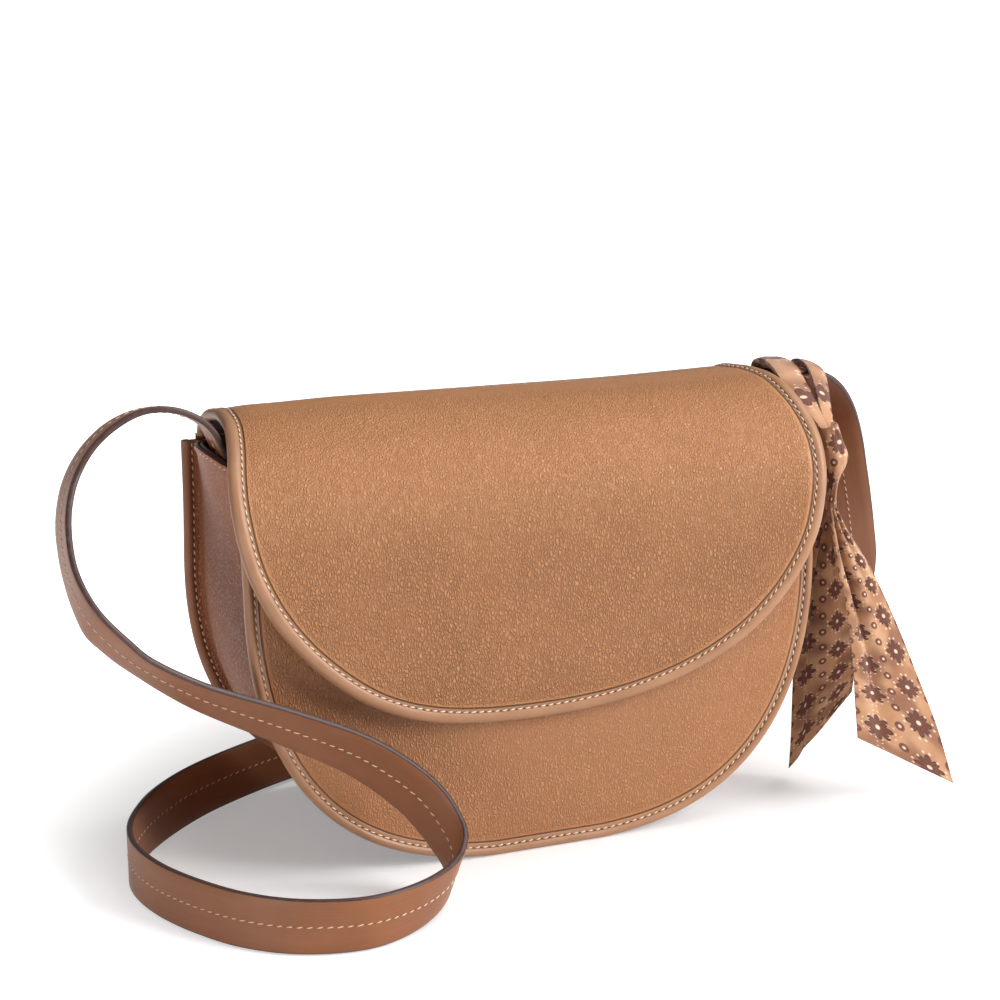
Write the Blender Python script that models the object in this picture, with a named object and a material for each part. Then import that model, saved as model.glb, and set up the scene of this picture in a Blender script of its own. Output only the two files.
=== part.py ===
"""Half-moon crossbody bag with a flap, a long flat shoulder strap and a scarf tied on the strap.

X runs along the bag's width, -Y is its front, +Z is up. The sizes and the strap's route are
measured from the bag's middle plane, which lies centre_shift behind the middle of its box.
"""
import math

import bmesh
import bpy
from mathutils import Vector

MM = 0.001

# Body outline: half width against height, a flat sole below and a slight flare at the mouth.
body_half_width = 137.5 * MM
widest_height = 127.0 * MM
sole_sink = 0.5 * MM
outline_height_power = 2.26
outline_width_power = 2.845
mouth_flare = 1.0 * MM
mouth_height = 180.0 * MM
front_mouth_drop = 16.0 * MM
front_mouth_height = mouth_height - front_mouth_drop
base_half_depth = 58.06 * MM
side_lean_share = 0.0851
centre_shift = 2.81 * MM

# Walls, from the outer face inwards.
clearance = 0.3 * MM
panel_thickness = 1.6 * MM
gusset_thickness = 1.4 * MM
board_gap = 0.5 * MM
board_thickness = 1.0 * MM
lining_thickness = 0.7 * MM
facing_thickness = 1.2 * MM
facing_height = 22.0 * MM
panel_crown = 4.5 * MM
crown_rim = 8.0 * MM
crown_fade_share = 1.0
inner_layer_inset = 10.3 * MM
snap_hole_clearance = 0.3 * MM
wall_layer_gap = 0.8 * MM

# Gusset: a flange beside each panel, then a wall that bulges between the two seams.
seam_inset = 1.5 * MM
flange_bend_inset = 6.2 * MM
wall_inset = 8.0 * MM
wall_bulge = 4.0 * MM
mouth_bulge = 9.0 * MM
mouth_bulge_rise = 40.0 * MM
mouth_bulge_start = mouth_height - mouth_bulge_rise
flange_bend_depth = 2.0 * MM

# Bound edges: a folded strip of leather round the raw edges.
binding_outer_half = 2.95 * MM
binding_lip = 2.6 * MM
binding_nose = 1.5 * MM

# Flap: a profile over the bag, from the sewn rear edge to the front tip.
flap_overhang = 4.4 * MM
flap_half_width = body_half_width + flap_overhang
flap_front_gap = 5.44 * MM
flap_reach = base_half_depth + flap_front_gap
flap_rise = 17.3 * MM
flap_oval_dip = 8.8 * MM
flap_oval_height = mouth_height - flap_oval_dip
flap_oval_drop_share = 0.585
flap_oval_drop = mouth_height * flap_oval_drop_share
flap_tip_half_width = 24.0 * MM
flap_leather_thickness = 1.4 * MM
flap_interlining_thickness = 0.7 * MM
flap_lining_thickness = 0.8 * MM
flap_profile_shares = (
    # share of the reach, height from the mouth, share of the half width; the height is a share
    # of the flap's rise where it is above the mouth, and of the mouth's height below it
    (0.699, 0.067102, 0.920),
    (0.698, 0.213081, 0.920),
    (0.657, 0.441173, 0.921),
    (0.580, 0.657861, 0.922),
    (0.470, 0.828931, 0.923),
    (0.271, 0.942977, 0.924),
    (0.091, 1.000000, 0.929),
    (-0.186, 0.937275, 0.942),
    (-0.425, 0.606540, 0.967),
    (-0.570, 0.218783, 0.986),
    (-0.688, -0.025557, 0.998),
    (-0.778, -0.080582, 1.0),
    (-0.827, -0.126619, 1.0),
    (-0.867, -0.184493, 1.0),
    (-0.905, -0.235572, 1.0),
    (-0.930, -0.287747, 1.0),
    (-0.965, -0.388918, 1.0),
    (-1.0, -0.500173, 1.0),
    (-0.996, -0.583478, 1.0),
    (-0.984, -0.643764, 1.0),
)
hinge_standoff = 0.6 * MM
hinge_rise = 0.6 * MM
anchor_height = 16.0 * MM
anchor_corner_gap = 11.9 * MM
anchor_half_width = body_half_width - anchor_corner_gap
anchor_thickness = 1.4 * MM

# Snap closure.
snap_tip_gap = 22.1 * MM
snap_height = flap_oval_height - flap_oval_drop + snap_tip_gap
snap_radius = 8.0 * MM
snap_socket_height = 2.4 * MM
snap_recess_radius = 3.6 * MM
snap_recess_depth = 1.4 * MM
snap_stem_radius = 1.5 * MM
snap_plate_height = 1.2 * MM
snap_post_radius = 2.2 * MM
snap_post_height = 1.9 * MM
snap_washer_radius = 7.0 * MM
snap_washer_thickness = 0.9 * MM
stud_washer_thickness = 0.6 * MM
snap_rim_round = 0.4 * MM

# Strap.
strap_width = 24.0 * MM
strap_thickness = 2.7 * MM
strap_end_height = 38.0 * MM
strap_end_top = 157.0 * MM
strap_seat_share = 0.85
# Centre of the strap, then the direction towards its first edge.
strap_route_mm = (
    (-129.0, -1.0, 157.4, 0.0, -1.0, 0.0),
    (-130.2, -1.5, 169.5, 0.0, -1.0, 0.0),
    (-132.2, -2.0, 181.0, 0.0, -1.0, 0.0),
    (-135.6, -2.5, 190.0, -0.05, -1.0, 0.0),
    (-139.6, -3.0, 197.0, -0.03, -1.0, -0.05),
    (-146.5, -3.8, 202.6, 0.0, -1.0, -0.02),
    (-157.4, -4.6, 206.6, 0.0, -1.0, 0.08),
    (-170.1, -4.7, 206.4, 0.0, -1.0, 0.13),
    (-182.5, -5.8, 201.6, 0.02, -1.0, 0.17),
    (-193.5, -7.8, 193.0, 0.04, -0.97, 0.25),
    (-201.8, -12.0, 182.0, 0.06, -0.9, 0.42),
    (-207.2, -20.0, 170.3, 0.06, -0.79, 0.60),
    (-210.0, -31.0, 159.0, 0.0, -0.68, 0.73),
    (-210.8, -43.5, 148.0, -0.06, -0.64, 0.77),
    (-209.4, -54.0, 139.4, -0.04, -0.68, 0.72),
    (-206.0, -60.0, 132.2, 0.08, -0.80, 0.56),
    (-199.0, -61.8, 124.0, 0.28, -0.88, 0.34),
    (-187.0, -61.0, 112.5, 0.32, -0.88, 0.30),
    (-162.0, -62.5, 95.8, 0.22, -0.78, 0.55),
    (-127.5, -67.0, 79.4, 0.26, -0.64, 0.72),
    (-95.5, -71.8, 63.0, 0.39, -0.53, 0.75),
    (-72.5, -78.0, 44.5, 0.50, -0.50, 0.70),
    (-62.3, -87.5, 29.0, 0.38, -0.56, 0.73),
    (-61.6, -98.5, 19.2, 0.12, -0.50, 0.86),
    (-71.5, -111.0, 14.4, 0.08, -0.34, 0.94),
    (-90.5, -123.3, 12.6, 0.05, -0.18, 0.98),
    (-114.0, -129.4, 12.4, 0.0, -0.05, 1.0),
    (-140.0, -122.4, 12.4, 0.03, 0.05, 1.0),
    (-159.8, -106.8, 12.4, 0.08, 0.07, 1.0),
    (-174.2, -85.0, 12.4, 0.07, 0.05, 1.0),
    (-183.8, -61.7, 12.4, 0.04, 0.02, 1.0),
    (-187.2, -38.5, 12.4, 0.02, 0.0, 1.0),
    (-183.8, -18.2, 12.4, -0.02, 0.02, 1.0),
    (-174.2, 0.6, 12.4, -0.09, 0.08, 0.99),
    (-158.6, 20.2, 12.4, -0.20, 0.22, 0.95),
    (-136.8, 39.4, 12.4, -0.24, 0.34, 0.91),
    (-110.0, 55.8, 12.4, -0.20, 0.36, 0.91),
    (-81.0, 69.2, 12.4, -0.12, 0.28, 0.95),
    (-44.5, 78.0, 12.4, -0.03, 0.15, 0.99),
    (-3.0, 81.4, 12.4, 0.0, 0.04, 1.0),
    (39.0, 82.2, 12.4, 0.0, -0.03, 1.0),
    (80.3, 81.4, 12.4, 0.0, -0.05, 1.0),
    (116.3, 79.4, 12.6, -0.04, -0.04, 1.0),
    (149.0, 75.9, 15.6, -0.18, 0.02, 0.98),
    (175.2, 70.5, 24.6, -0.42, 0.11, 0.90),
    (193.3, 61.7, 37.9, -0.62, 0.19, 0.76),
    (203.6, 50.0, 54.0, -0.78, 0.26, 0.55),
    (206.6, 39.0, 70.5, -0.90, 0.28, 0.28),
    (203.8, 29.6, 88.0, -0.95, 0.27, 0.02),
    (197.6, 22.0, 106.0, -0.94, 0.30, -0.08),
    (191.4, 16.0, 124.2, -0.92, 0.37, -0.10),
    (186.0, 12.2, 141.6, -0.87, 0.46, -0.10),
    (181.4, 9.8, 158.6, -0.79, 0.59, -0.12),
    (175.8, 8.4, 174.6, -0.63, 0.75, -0.16),
    (168.6, 7.8, 186.2, -0.42, 0.89, -0.16),
    (160.2, 7.4, 192.8, -0.22, 0.97, -0.10),
    (151.4, 7.0, 194.4, -0.08, 1.0, -0.04),
    (142.6, 6.6, 191.4, 0.0, 1.0, 0.0),
    (135.0, 6.0, 184.8, 0.0, 1.0, 0.0),
    (131.0, 5.4, 176.0, 0.0, 1.0, 0.0),
    (129.4, 5.0, 166.6, 0.0, 1.0, 0.0),
    (129.0, 5.0, 157.4, 0.0, 1.0, 0.0),
)

# Scarf: a ribbon wound twice over the strap, knotted in front of it, with two tails.
scarf_thickness = 1.2 * MM
scarf_width = 34.0 * MM
turn_width = 14.0 * MM
under_turn_width = 8.0 * MM
turn_slack = 1.0 * MM
turn_near_knot_width = 5.4 * MM
knot_half_width = 6.4 * MM
knot_half_depth = 6.0 * MM
knot_half_height = 11.0 * MM
knot_side = 147.4 * MM
knot_front = 62.5 * MM
knot_height = 156.0 * MM
tail_drop = 136.0 * MM
tail_spread = 31.0 * MM
turn_one_route_share = 0.918
turn_two_route_share = 0.885
under_turn_route_share = 0.902
# Across the strap, in shares of its half width, and above it, in shares of the seat over it.
over_turn_shares = ((1.18, -0.5), (1.22, 0.3), (1.0, 1.0), (0.5, 1.1), (0.0, 1.1), (-0.5, 1.1), (-1.05, 1.0))
under_turn_shares = ((0.95, -1.25), (0.5, -1.25), (0.0, -1.3), (-0.5, -1.25), (-1.1, -1.3))
fall_shares = ((0.18, 0.10), (0.42, 0.32), (0.70, 0.62), (0.90, 0.86), (1.0, 1.0))
# Down the tail, in shares of its drop, outwards and forwards in shares of its spread, width share.
right_tail_shares = (
    (0.0, 0.0, 0.0, 0.30),
    (0.12, 0.06, 0.06, 0.40),
    (0.27, 0.15, 0.09, 0.58),
    (0.42, 0.33, 0.14, 0.76),
    (0.57, 0.52, 0.20, 0.91),
    (0.74, 0.76, 0.27, 1.0),
)
left_tail_shares = (
    (0.0, 0.0, 0.0, 0.28),
    (0.12, 0.03, -0.36, 0.38),
    (0.27, 0.05, -0.70, 0.52),
    (0.43, 0.04, -0.86, 0.70),
    (0.61, 0.02, -0.93, 0.84),
    (0.78, 0.0, -0.96, 0.88),
)
right_tail_end_shares = (0.925, 0.94, 0.42)
left_tail_end_shares = (0.975, 0.03, -1.0)
right_tail_cut_shares = (0.71, -0.15, -0.42)
left_tail_cut_shares = (0.33, 0.0, 0.24)

# Mesh density.
seam_steps = 18
sole_steps = 4
panel_columns = 8
inner_columns = 6
wall_columns = 8
flap_steps = 22
flap_columns = 8
flap_first_step_share = 0.3
profile_samples = 12
outline_samples = 600
turn_segments = 20


def clear_scene():
    for item in list(bpy.data.objects):
        bpy.data.objects.remove(item, do_unlink=True)


def material(name, colour, roughness, metallic=0.0):
    """One plain finish: colour, roughness and metallic value."""
    made = bpy.data.materials.new(name)
    made.use_nodes = True
    shader = made.node_tree.nodes["Principled BSDF"]
    shader.inputs["Base Color"].default_value = (*colour, 1.0)
    shader.inputs["Roughness"].default_value = roughness
    shader.inputs["Metallic"].default_value = metallic
    return made


def add_object(name, bm, finish, parent=None, smooth=False):
    """A mesh as one named object, on the middle plane or under the flap's hinge."""
    bmesh.ops.recalc_face_normals(bm, faces=bm.faces)
    mesh = bpy.data.meshes.new(name)
    if parent:
        bmesh.ops.translate(bm, verts=bm.verts, vec=Vector((0.0, centre_shift, 0.0)) - parent.location)
    bm.to_mesh(mesh)
    bm.free()
    mesh.materials.append(finish)
    made = bpy.data.objects.new(name, mesh)
    bpy.context.scene.collection.objects.link(made)
    if parent:
        made.parent = parent
    else:
        made.location = (0.0, centre_shift, 0.0)
    if smooth:
        mesh.shade_smooth()
        mesh.set_sharp_from_angle(angle=math.radians(40.0))
    return made


def add_sheet(name, rows, thickness, finish, parent=None):
    """A skin through rows of points, given its thickness half to each side."""
    bm = bmesh.new()
    grid = [[bm.verts.new(point) for point in row] for row in rows]
    for low, high in zip(grid, grid[1:]):
        for column in range(len(low) - 1):
            bm.faces.new((low[column], low[column + 1], high[column + 1], high[column]))
    made = add_object(name, bm, finish, parent, smooth=True)
    wall = made.modifiers.new("wall", "SOLIDIFY")
    wall.thickness = thickness
    wall.offset = 0.0
    return made


def add_sweep(name, rings, finish, parent=None, smooth=False):
    """A solid through closed rings of points, capped at both ends."""
    bm = bmesh.new()
    loops = [[bm.verts.new(point) for point in ring] for ring in rings]
    count = len(loops[0])
    for near, far in zip(loops, loops[1:]):
        for corner in range(count):
            after = (corner + 1) % count
            bm.faces.new((near[corner], near[after], far[after], far[corner]))
    bm.faces.new(loops[0])
    bm.faces.new(loops[-1])
    return add_object(name, bm, finish, parent, smooth)


def add_band(name, stations, thickness, finish):
    """A flat ribbon through stations, each a centre and a vector to its first edge."""
    rings = []
    for index, (centre, half) in enumerate(stations):
        before = stations[max(index - 1, 0)][0]
        after = stations[min(index + 1, len(stations) - 1)][0]
        normal = (after - before).cross(half).normalized() * (thickness / 2)
        rings.append((centre + half + normal, centre + half - normal,
                      centre - half - normal, centre - half + normal))
    return add_sweep(name, rings, finish)


def add_turned(name, profile, foot, axis, finish, parent=None):
    """A round piece: radius and height along the axis from its foot."""
    axis = axis.normalized()
    side = Vector((1.0, 0.0, 0.0))
    other = axis.cross(side).normalized()
    bm = bmesh.new()
    rings = []
    for radius, height in profile:
        middle = foot + axis * height
        if radius == 0.0:
            rings.append([bm.verts.new(middle)])
            continue
        ring = []
        for step in range(turn_segments):
            angle = math.tau * step / turn_segments
            ring.append(bm.verts.new(middle + (side * math.cos(angle) + other * math.sin(angle)) * radius))
        rings.append(ring)
    for near, far in zip(rings, rings[1:]):
        for step in range(turn_segments):
            after = (step + 1) % turn_segments
            if len(near) == 1:
                bm.faces.new((near[0], far[after], far[step]))
            elif len(far) == 1:
                bm.faces.new((near[step], near[after], far[0]))
            else:
                bm.faces.new((near[step], near[after], far[after], far[step]))
    return add_object(name, bm, finish, parent, smooth=True)


def cut_hole(target, radius, foot, axis, depth, parent=None):
    """A round hole along the axis, made by a hidden cutter."""
    profile = ((0.0, -depth), (radius, -depth), (radius, depth), (0.0, depth))
    cutter = add_turned(target.name + "_hole", profile, foot, axis, target.data.materials[0], parent)
    cutter.hide_render = True
    cutter.display_type = "WIRE"
    hole = target.modifiers.new("hole", "BOOLEAN")
    hole.operation = "DIFFERENCE"
    hole.object = cutter


def even_run(points, steps):
    """The same flat curve with evenly spaced points."""
    lengths = [0.0]
    for before, after in zip(points, points[1:]):
        lengths.append(lengths[-1] + math.dist(before, after))
    run, index = [], 0
    for step in range(steps + 1):
        target = lengths[-1] * step / steps
        while index < len(lengths) - 2 and lengths[index + 1] < target:
            index += 1
        share = (target - lengths[index]) / (lengths[index + 1] - lengths[index])
        start, end = points[index], points[index + 1]
        run.append((start[0] + (end[0] - start[0]) * share, start[1] + (end[1] - start[1]) * share))
    return run


def inset_run(points, inset):
    """The flat curve moved to its inner side, with each point's outward direction."""
    moved = []
    for index, (across, along) in enumerate(points):
        before = points[max(index - 1, 0)]
        after = points[min(index + 1, len(points) - 1)]
        run_x, run_s = after[0] - before[0], after[1] - before[1]
        length = math.hypot(run_x, run_s)
        out_x, out_s = run_s / length, -run_x / length
        moved.append((across - out_x * inset, along - out_s * inset, out_x, out_s))
    return moved


def outline_half_width(height):
    """Half width of the body's outline at a height."""
    if height + sole_sink < widest_height:
        drop_share = (widest_height - height - sole_sink) / widest_height
        return body_half_width * (1 - drop_share ** outline_height_power) ** (1 / outline_width_power)
    rise_share = (height + sole_sink - widest_height) / (mouth_height - widest_height)
    return body_half_width + mouth_flare * rise_share ** 2


def seam_line(top, inset):
    """The seam from the left mouth round the sole to the right mouth: x, z and outward direction."""
    samples = []
    for index in range(outline_samples + 1):
        height = top * (index / outline_samples) ** 2
        samples.append((outline_half_width(height), height))
    side = even_run(samples, seam_steps)
    sole_end = side[0][0]
    sole = [(sole_end * (2 * step / sole_steps - 1), 0.0) for step in range(1, sole_steps)]
    left = [(-across, height) for across, height in reversed(side)]
    return inset_run(left + sole + side, inset)


def side_rows(top, inset):
    """The seam's right half as heights and half widths, from the sole up."""
    line = seam_line(top, inset)
    return [(across, height) for across, height, _, _ in line[-seam_steps - 1:]]


def crown(across, height, top):
    """How far a panel swells outwards."""
    width_term = (abs(across) / (body_half_width - crown_rim)) ** outline_width_power
    drop_share = max(widest_height - height, 0.0) / (widest_height - crown_rim)
    fullness = max(0.0, 1 - width_term - drop_share ** outline_height_power)
    rise_share = max(height - widest_height, 0.0) / (top - widest_height)
    return panel_crown * fullness * (1 - crown_fade_share * rise_share ** 2)


def wall_point(side, across, height, depth, top=None):
    """A point below a panel's outer face: side is -1 at the front and 1 at the back."""
    reach = base_half_depth - side_lean_share * height - depth
    if top:
        reach += crown(across, height, top)
    return Vector((across, side * reach, height))


def panel_rows(side, top, inset, depth, columns, low=None, crown_top=None):
    """Rows of points over a panel-shaped layer, from the sole or a low edge up to its top."""
    crown_top = crown_top or top
    if low is None:
        ends = side_rows(top, inset)
    else:
        ends = []
        for step in range(3):
            height = low + (top - low) * step / 2
            ends.append((outline_half_width(height) - inset, height))
    rows = []
    for reach, height in ends:
        row = []
        for column in range(columns + 1):
            across = reach * (2 * column / columns - 1)
            row.append(wall_point(side, across, height, depth, crown_top))
        rows.append(row)
    return rows


def mouth_at(share):
    """The mouth's height between the front seam, share 0, and the back seam, share 1."""
    rise = min(max(share / 0.36, 0.0), 1.0)
    return front_mouth_height + (mouth_height - front_mouth_height) * rise * rise * (3 - 2 * rise)


def bulge_at(height):
    rise = max(height - mouth_bulge_start, 0.0) / (mouth_height - mouth_bulge_start)
    return wall_bulge + (mouth_bulge - wall_bulge) * rise ** 2


def wall_section(offset):
    """Across the gusset's wall from front to back: depth share and share of the bulge."""
    section = []
    for column in range(wall_columns + 1):
        share = column / wall_columns
        section.append((share, offset, math.sin(math.pi * share) ** 0.8))
    return section


def gusset_rows():
    """Rows over the gusset: front flange, wall, back flange."""
    front = seam_line(front_mouth_height, 0.0)
    back = seam_line(mouth_height, 0.0)
    depth = panel_thickness + clearance + gusset_thickness / 2
    edge = seam_inset + clearance / 2
    rows = []
    for (fx, fz, fox, foz), (bx, bz, box, boz) in zip(front, back):
        row = []

        def flange(side, x, z, ox, oz, inset, extra):
            return wall_point(side, x - ox * inset, z - oz * inset, depth + extra)

        bends = ((edge, 0.0), (flange_bend_inset, 0.0), ((flange_bend_inset + wall_inset) / 2 + clearance, clearance))
        for inset, extra in bends:
            row.append(flange(-1, fx, fz, fox, foz, inset, extra))
        for share, offset, fullness in wall_section(0.0):
            x, z = fx + (bx - fx) * share, fz + (bz - fz) * mouth_share(share)
            ox, oz = fox + (box - fox) * share, foz + (boz - foz) * share
            inset = wall_inset + offset - bulge_at(z) * fullness
            start = wall_point(-1, x - ox * inset, z - oz * inset, depth + flange_bend_depth)
            end = wall_point(1, x - ox * inset, z - oz * inset, depth + flange_bend_depth)
            row.append(start + (end - start) * share)
        for inset, extra in reversed(bends):
            row.append(flange(1, bx, bz, box, boz, inset, extra))
        rows.append(row)
    return rows


def mouth_share(share):
    """How soon the wall's rows rise from the front seam's heights to the back seam's."""
    return (mouth_at(share) - front_mouth_height) / (mouth_height - front_mouth_height)


def gusset_lining_rows(offset, drop, edge_depth):
    """Rows inside the gusset's wall, stopping below the mouth by drop."""
    front = seam_line(front_mouth_height - drop, 0.0)
    back = seam_line(mouth_height - drop, 0.0)
    rows = []
    for (fx, fz, fox, foz), (bx, bz, box, boz) in zip(front, back):
        row = []
        for share, extra, fullness in wall_section(offset):
            x, z = fx + (bx - fx) * share, fz + (bz - fz) * mouth_share(share)
            ox, oz = fox + (box - fox) * share, foz + (boz - foz) * share
            inset = wall_inset + extra - bulge_at(z) * fullness
            start = wall_point(-1, x - ox * inset, z - oz * inset, edge_depth)
            end = wall_point(1, x - ox * inset, z - oz * inset, edge_depth)
            row.append(start + (end - start) * share)
        rows.append(row)
    return rows


def side_facing_rows(side, offset, edge_depth):
    """Rows of the leather strip inside the gusset's mouth, side -1 on the left, 1 on the right."""
    rows = []
    for step in range(4):
        row = []
        for share, extra, fullness in wall_section(offset):
            height = mouth_at(share) - facing_height * (1 - step / 3)
            across = outline_half_width(height) - wall_inset - extra + bulge_at(height) * fullness
            start = wall_point(-1, side * across, height, edge_depth)
            end = wall_point(1, side * across, height, edge_depth)
            row.append(start + (end - start) * share)
        rows.append(row)
    return rows


def binding_section(slot_half, lip_half):
    """The bound edge's C shape: outwards from the seam line, then across the thickness."""
    nose, lip = binding_nose, binding_lip
    shoulder = nose * 2 / 3
    return (
        (-lip, lip_half * 0.93), (-lip * 0.88, lip_half), (0.0, lip_half),
        (shoulder, lip_half * 0.75), (nose, lip_half * 0.3),
        (nose, -lip_half * 0.3), (shoulder, -lip_half * 0.75),
        (0.0, -lip_half), (-lip * 0.88, -lip_half), (-lip, -lip_half * 0.93),
        (-lip, -slot_half), (clearance, -slot_half), (clearance, slot_half), (-lip, slot_half),
    )


def body_binding(name, side, top, finish):
    """The bound seam of one panel, swept from mouth to mouth."""
    core = panel_thickness + clearance + gusset_thickness
    section = binding_section(core / 2 + clearance, binding_outer_half)
    across_wall = Vector((0.0, side, 0.0))
    rings = []
    for x, z, out_x, out_z in seam_line(top, seam_inset):
        centre = wall_point(side, x, z, core / 2)
        outward = Vector((out_x, -side * side_lean_share * out_z, out_z)).normalized()
        rings.append([centre + outward * p + across_wall * q for p, q in section])
    return add_sweep(name, rings, finish, smooth=True)


def smooth_curve(points, samples):
    """A smooth curve through the points, as many samples to each stretch."""
    curve = []
    for index in range(len(points) - 1):
        before = points[max(index - 1, 0)]
        start, end = points[index], points[index + 1]
        after = points[min(index + 2, len(points) - 1)]
        for sample in range(samples):
            t = sample / samples
            curve.append(tuple(
                0.5 * (2 * b + (c - a) * t + (2 * a - 5 * b + 4 * c - d) * t ** 2
                       + (3 * b - a - 3 * c + d) * t ** 3)
                for a, b, c, d in zip(before, start, end, after)))
    curve.append(tuple(points[-1]))
    return curve


class FlapShape:
    """The flap's profile as a curve and its outline laid flat along it."""

    def __init__(self):
        points = []
        for y_share, rise_share, width_share in flap_profile_shares:
            scale = flap_rise if rise_share > 0.0 else mouth_height
            points.append((flap_reach * y_share, mouth_height + scale * rise_share,
                           flap_half_width * width_share))
        self.curve = smooth_curve(points, profile_samples)
        self.lengths = [0.0]
        for before, after in zip(self.curve, self.curve[1:]):
            self.lengths.append(self.lengths[-1] + math.dist(before[:2], after[:2]))
        self.crest = max(range(len(self.curve)), key=lambda index: self.curve[index][1])

    def place(self, along):
        """Profile point, direction along it and outward normal at a length from the rear edge."""
        index = 0
        while index < len(self.lengths) - 2 and self.lengths[index + 1] < along:
            index += 1
        share = (along - self.lengths[index]) / (self.lengths[index + 1] - self.lengths[index])
        start, end = self.curve[index], self.curve[index + 1]
        point = Vector((0.0, start[0] + (end[0] - start[0]) * share, start[1] + (end[1] - start[1]) * share))
        before = self.curve[max(index - 1, 0)]
        after = self.curve[min(index + 2, len(self.curve) - 1)]
        tangent = Vector((0.0, after[0] - before[0], after[1] - before[1])).normalized()
        normal = Vector((0.0, tangent.z, -tangent.y))
        return point, tangent, normal

    def length_at_front_height(self, height):
        """Length along the profile where its front comes down to a height."""
        for index in range(self.crest, len(self.curve) - 1):
            high, low = self.curve[index][1], self.curve[index + 1][1]
            if high >= height >= low:
                share = (high - height) / (high - low)
                return self.lengths[index] + (self.lengths[index + 1] - self.lengths[index]) * share
        return self.lengths[-1]

    def side(self, inset):
        """The flap's right edge from the rear to the tip's row: x, length, outward direction."""
        oval_start = self.length_at_front_height(flap_oval_height)
        points = [(half, length) for (_, _, half), length in zip(self.curve, self.lengths)
                  if length < oval_start]
        last = math.acos(flap_tip_half_width / flap_half_width)
        for index in range(outline_samples // 4 + 1):
            angle = last * index * 4 / outline_samples
            height = flap_oval_height - flap_oval_drop * math.sin(angle)
            points.append((flap_half_width * math.cos(angle), self.length_at_front_height(height)))
        run = even_run(points, flap_steps)
        (near_x, near_s), (far_x, far_s) = run[:2]
        share = flap_first_step_share
        run.insert(1, (near_x + (far_x - near_x) * share, near_s + (far_s - near_s) * share))
        return inset_run(run, inset)

    def tip_sag(self, inset):
        """How much further the tip's middle lies than the ends of its row."""
        tip = self.length_at_front_height(flap_oval_height - flap_oval_drop)
        return tip - inset - self.side(inset)[-1][1]

    def rows(self, inset, depth):
        """Rows of points over one of the flap's layers."""
        sag = self.tip_sag(inset)
        rows = []
        side = self.side(inset)
        for index, (reach, length, _, _) in enumerate(side):
            row = []
            for column in range(flap_columns + 1):
                u = 2 * column / flap_columns - 1
                along = length + sag * (1 - u * u) * (index / (len(side) - 1)) ** 6
                point, _, normal = self.place(along)
                row.append(point + Vector((reach * u, 0.0, 0.0)) - normal * depth)
            rows.append(row)
        return rows

    def edge(self, inset):
        """The whole edge from the rear left round the tip to the rear right."""
        right = self.side(inset)
        sag = self.tip_sag(inset)
        reach, length = right[-1][:2]
        tip = []
        for step in range(1, sole_steps):
            u = 2 * step / sole_steps - 1
            slope = -2 * sag * u / reach
            size = math.hypot(slope, 1.0)
            tip.append((reach * u, length + sag * (1 - u * u), -slope / size, 1 / size))
        left = [(-x, s, -out_x, out_s) for x, s, out_x, out_s in right]
        return left + tip + list(reversed(right))


def flap_binding(shape, parent, finish):
    """The flap's bound edge, swept from rear corner to rear corner."""
    core = flap_core_thickness()
    section = binding_section(core / 2 + clearance, binding_outer_half)
    rings = []
    for x, length, out_x, out_s in shape.edge(seam_inset):
        point, tangent, normal = shape.place(length)
        centre = point + Vector((x, 0.0, 0.0)) - normal * (core / 2)
        outward = (Vector((out_x, 0.0, 0.0)) + tangent * out_s).normalized()
        rings.append([centre + outward * p + normal * q for p, q in section])
    return add_sweep("flap_edge_binding", rings, finish, parent, smooth=True)


def flap_core_thickness():
    return (flap_leather_thickness + flap_interlining_thickness + flap_lining_thickness
            + clearance * 2)


def build_body(finishes):
    """Panels, gusset, bound seams, boards, linings and facings."""
    tan, binding, board, lining = (finishes[key] for key in ("tan", "binding", "board", "lining"))
    board_depth = panel_thickness + board_gap + board_thickness / 2
    lining_depth = board_depth + board_thickness / 2 + clearance + lining_thickness / 2
    facing_depth = board_depth + board_thickness / 2 + clearance + facing_thickness / 2
    lining_drop = facing_height + clearance * 2
    for word, side, top in (("front", -1, front_mouth_height), ("back", 1, mouth_height)):
        rows = panel_rows(side, top, seam_inset, panel_thickness / 2, panel_columns)
        panel = add_sheet(word + "_panel", rows, panel_thickness, tan)
        rows = panel_rows(side, top - clearance, inner_layer_inset, board_depth, inner_columns, crown_top=top)
        stiffener = add_sheet(word + "_board", rows, board_thickness, board)
        rows = panel_rows(side, top - lining_drop, inner_layer_inset, lining_depth, inner_columns, crown_top=top)
        add_sheet(word + "_lining", rows, lining_thickness, lining)
        rows = panel_rows(side, top, inner_layer_inset, facing_depth, inner_columns,
                          low=top - facing_height, crown_top=top)
        add_sheet(word + "_facing", rows, facing_thickness, tan)
        body_binding(word + "_edge_binding", side, top, binding)
        if side < 0:
            add_snap_socket(panel, stiffener, finishes["metal"])
    add_sheet("gusset", gusset_rows(), gusset_thickness, tan)
    offset = gusset_thickness / 2 + wall_layer_gap + lining_thickness / 2
    edge_depth = lining_depth + lining_thickness / 2 + clearance
    add_sheet("gusset_lining", gusset_lining_rows(offset, lining_drop, edge_depth), lining_thickness, lining)
    offset = gusset_thickness / 2 + wall_layer_gap + facing_thickness / 2
    edge_depth = facing_depth + facing_thickness / 2 + clearance
    for word, side in (("left", -1), ("right", 1)):
        add_sheet(word + "_facing", side_facing_rows(side, offset, edge_depth), facing_thickness, tan)


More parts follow.
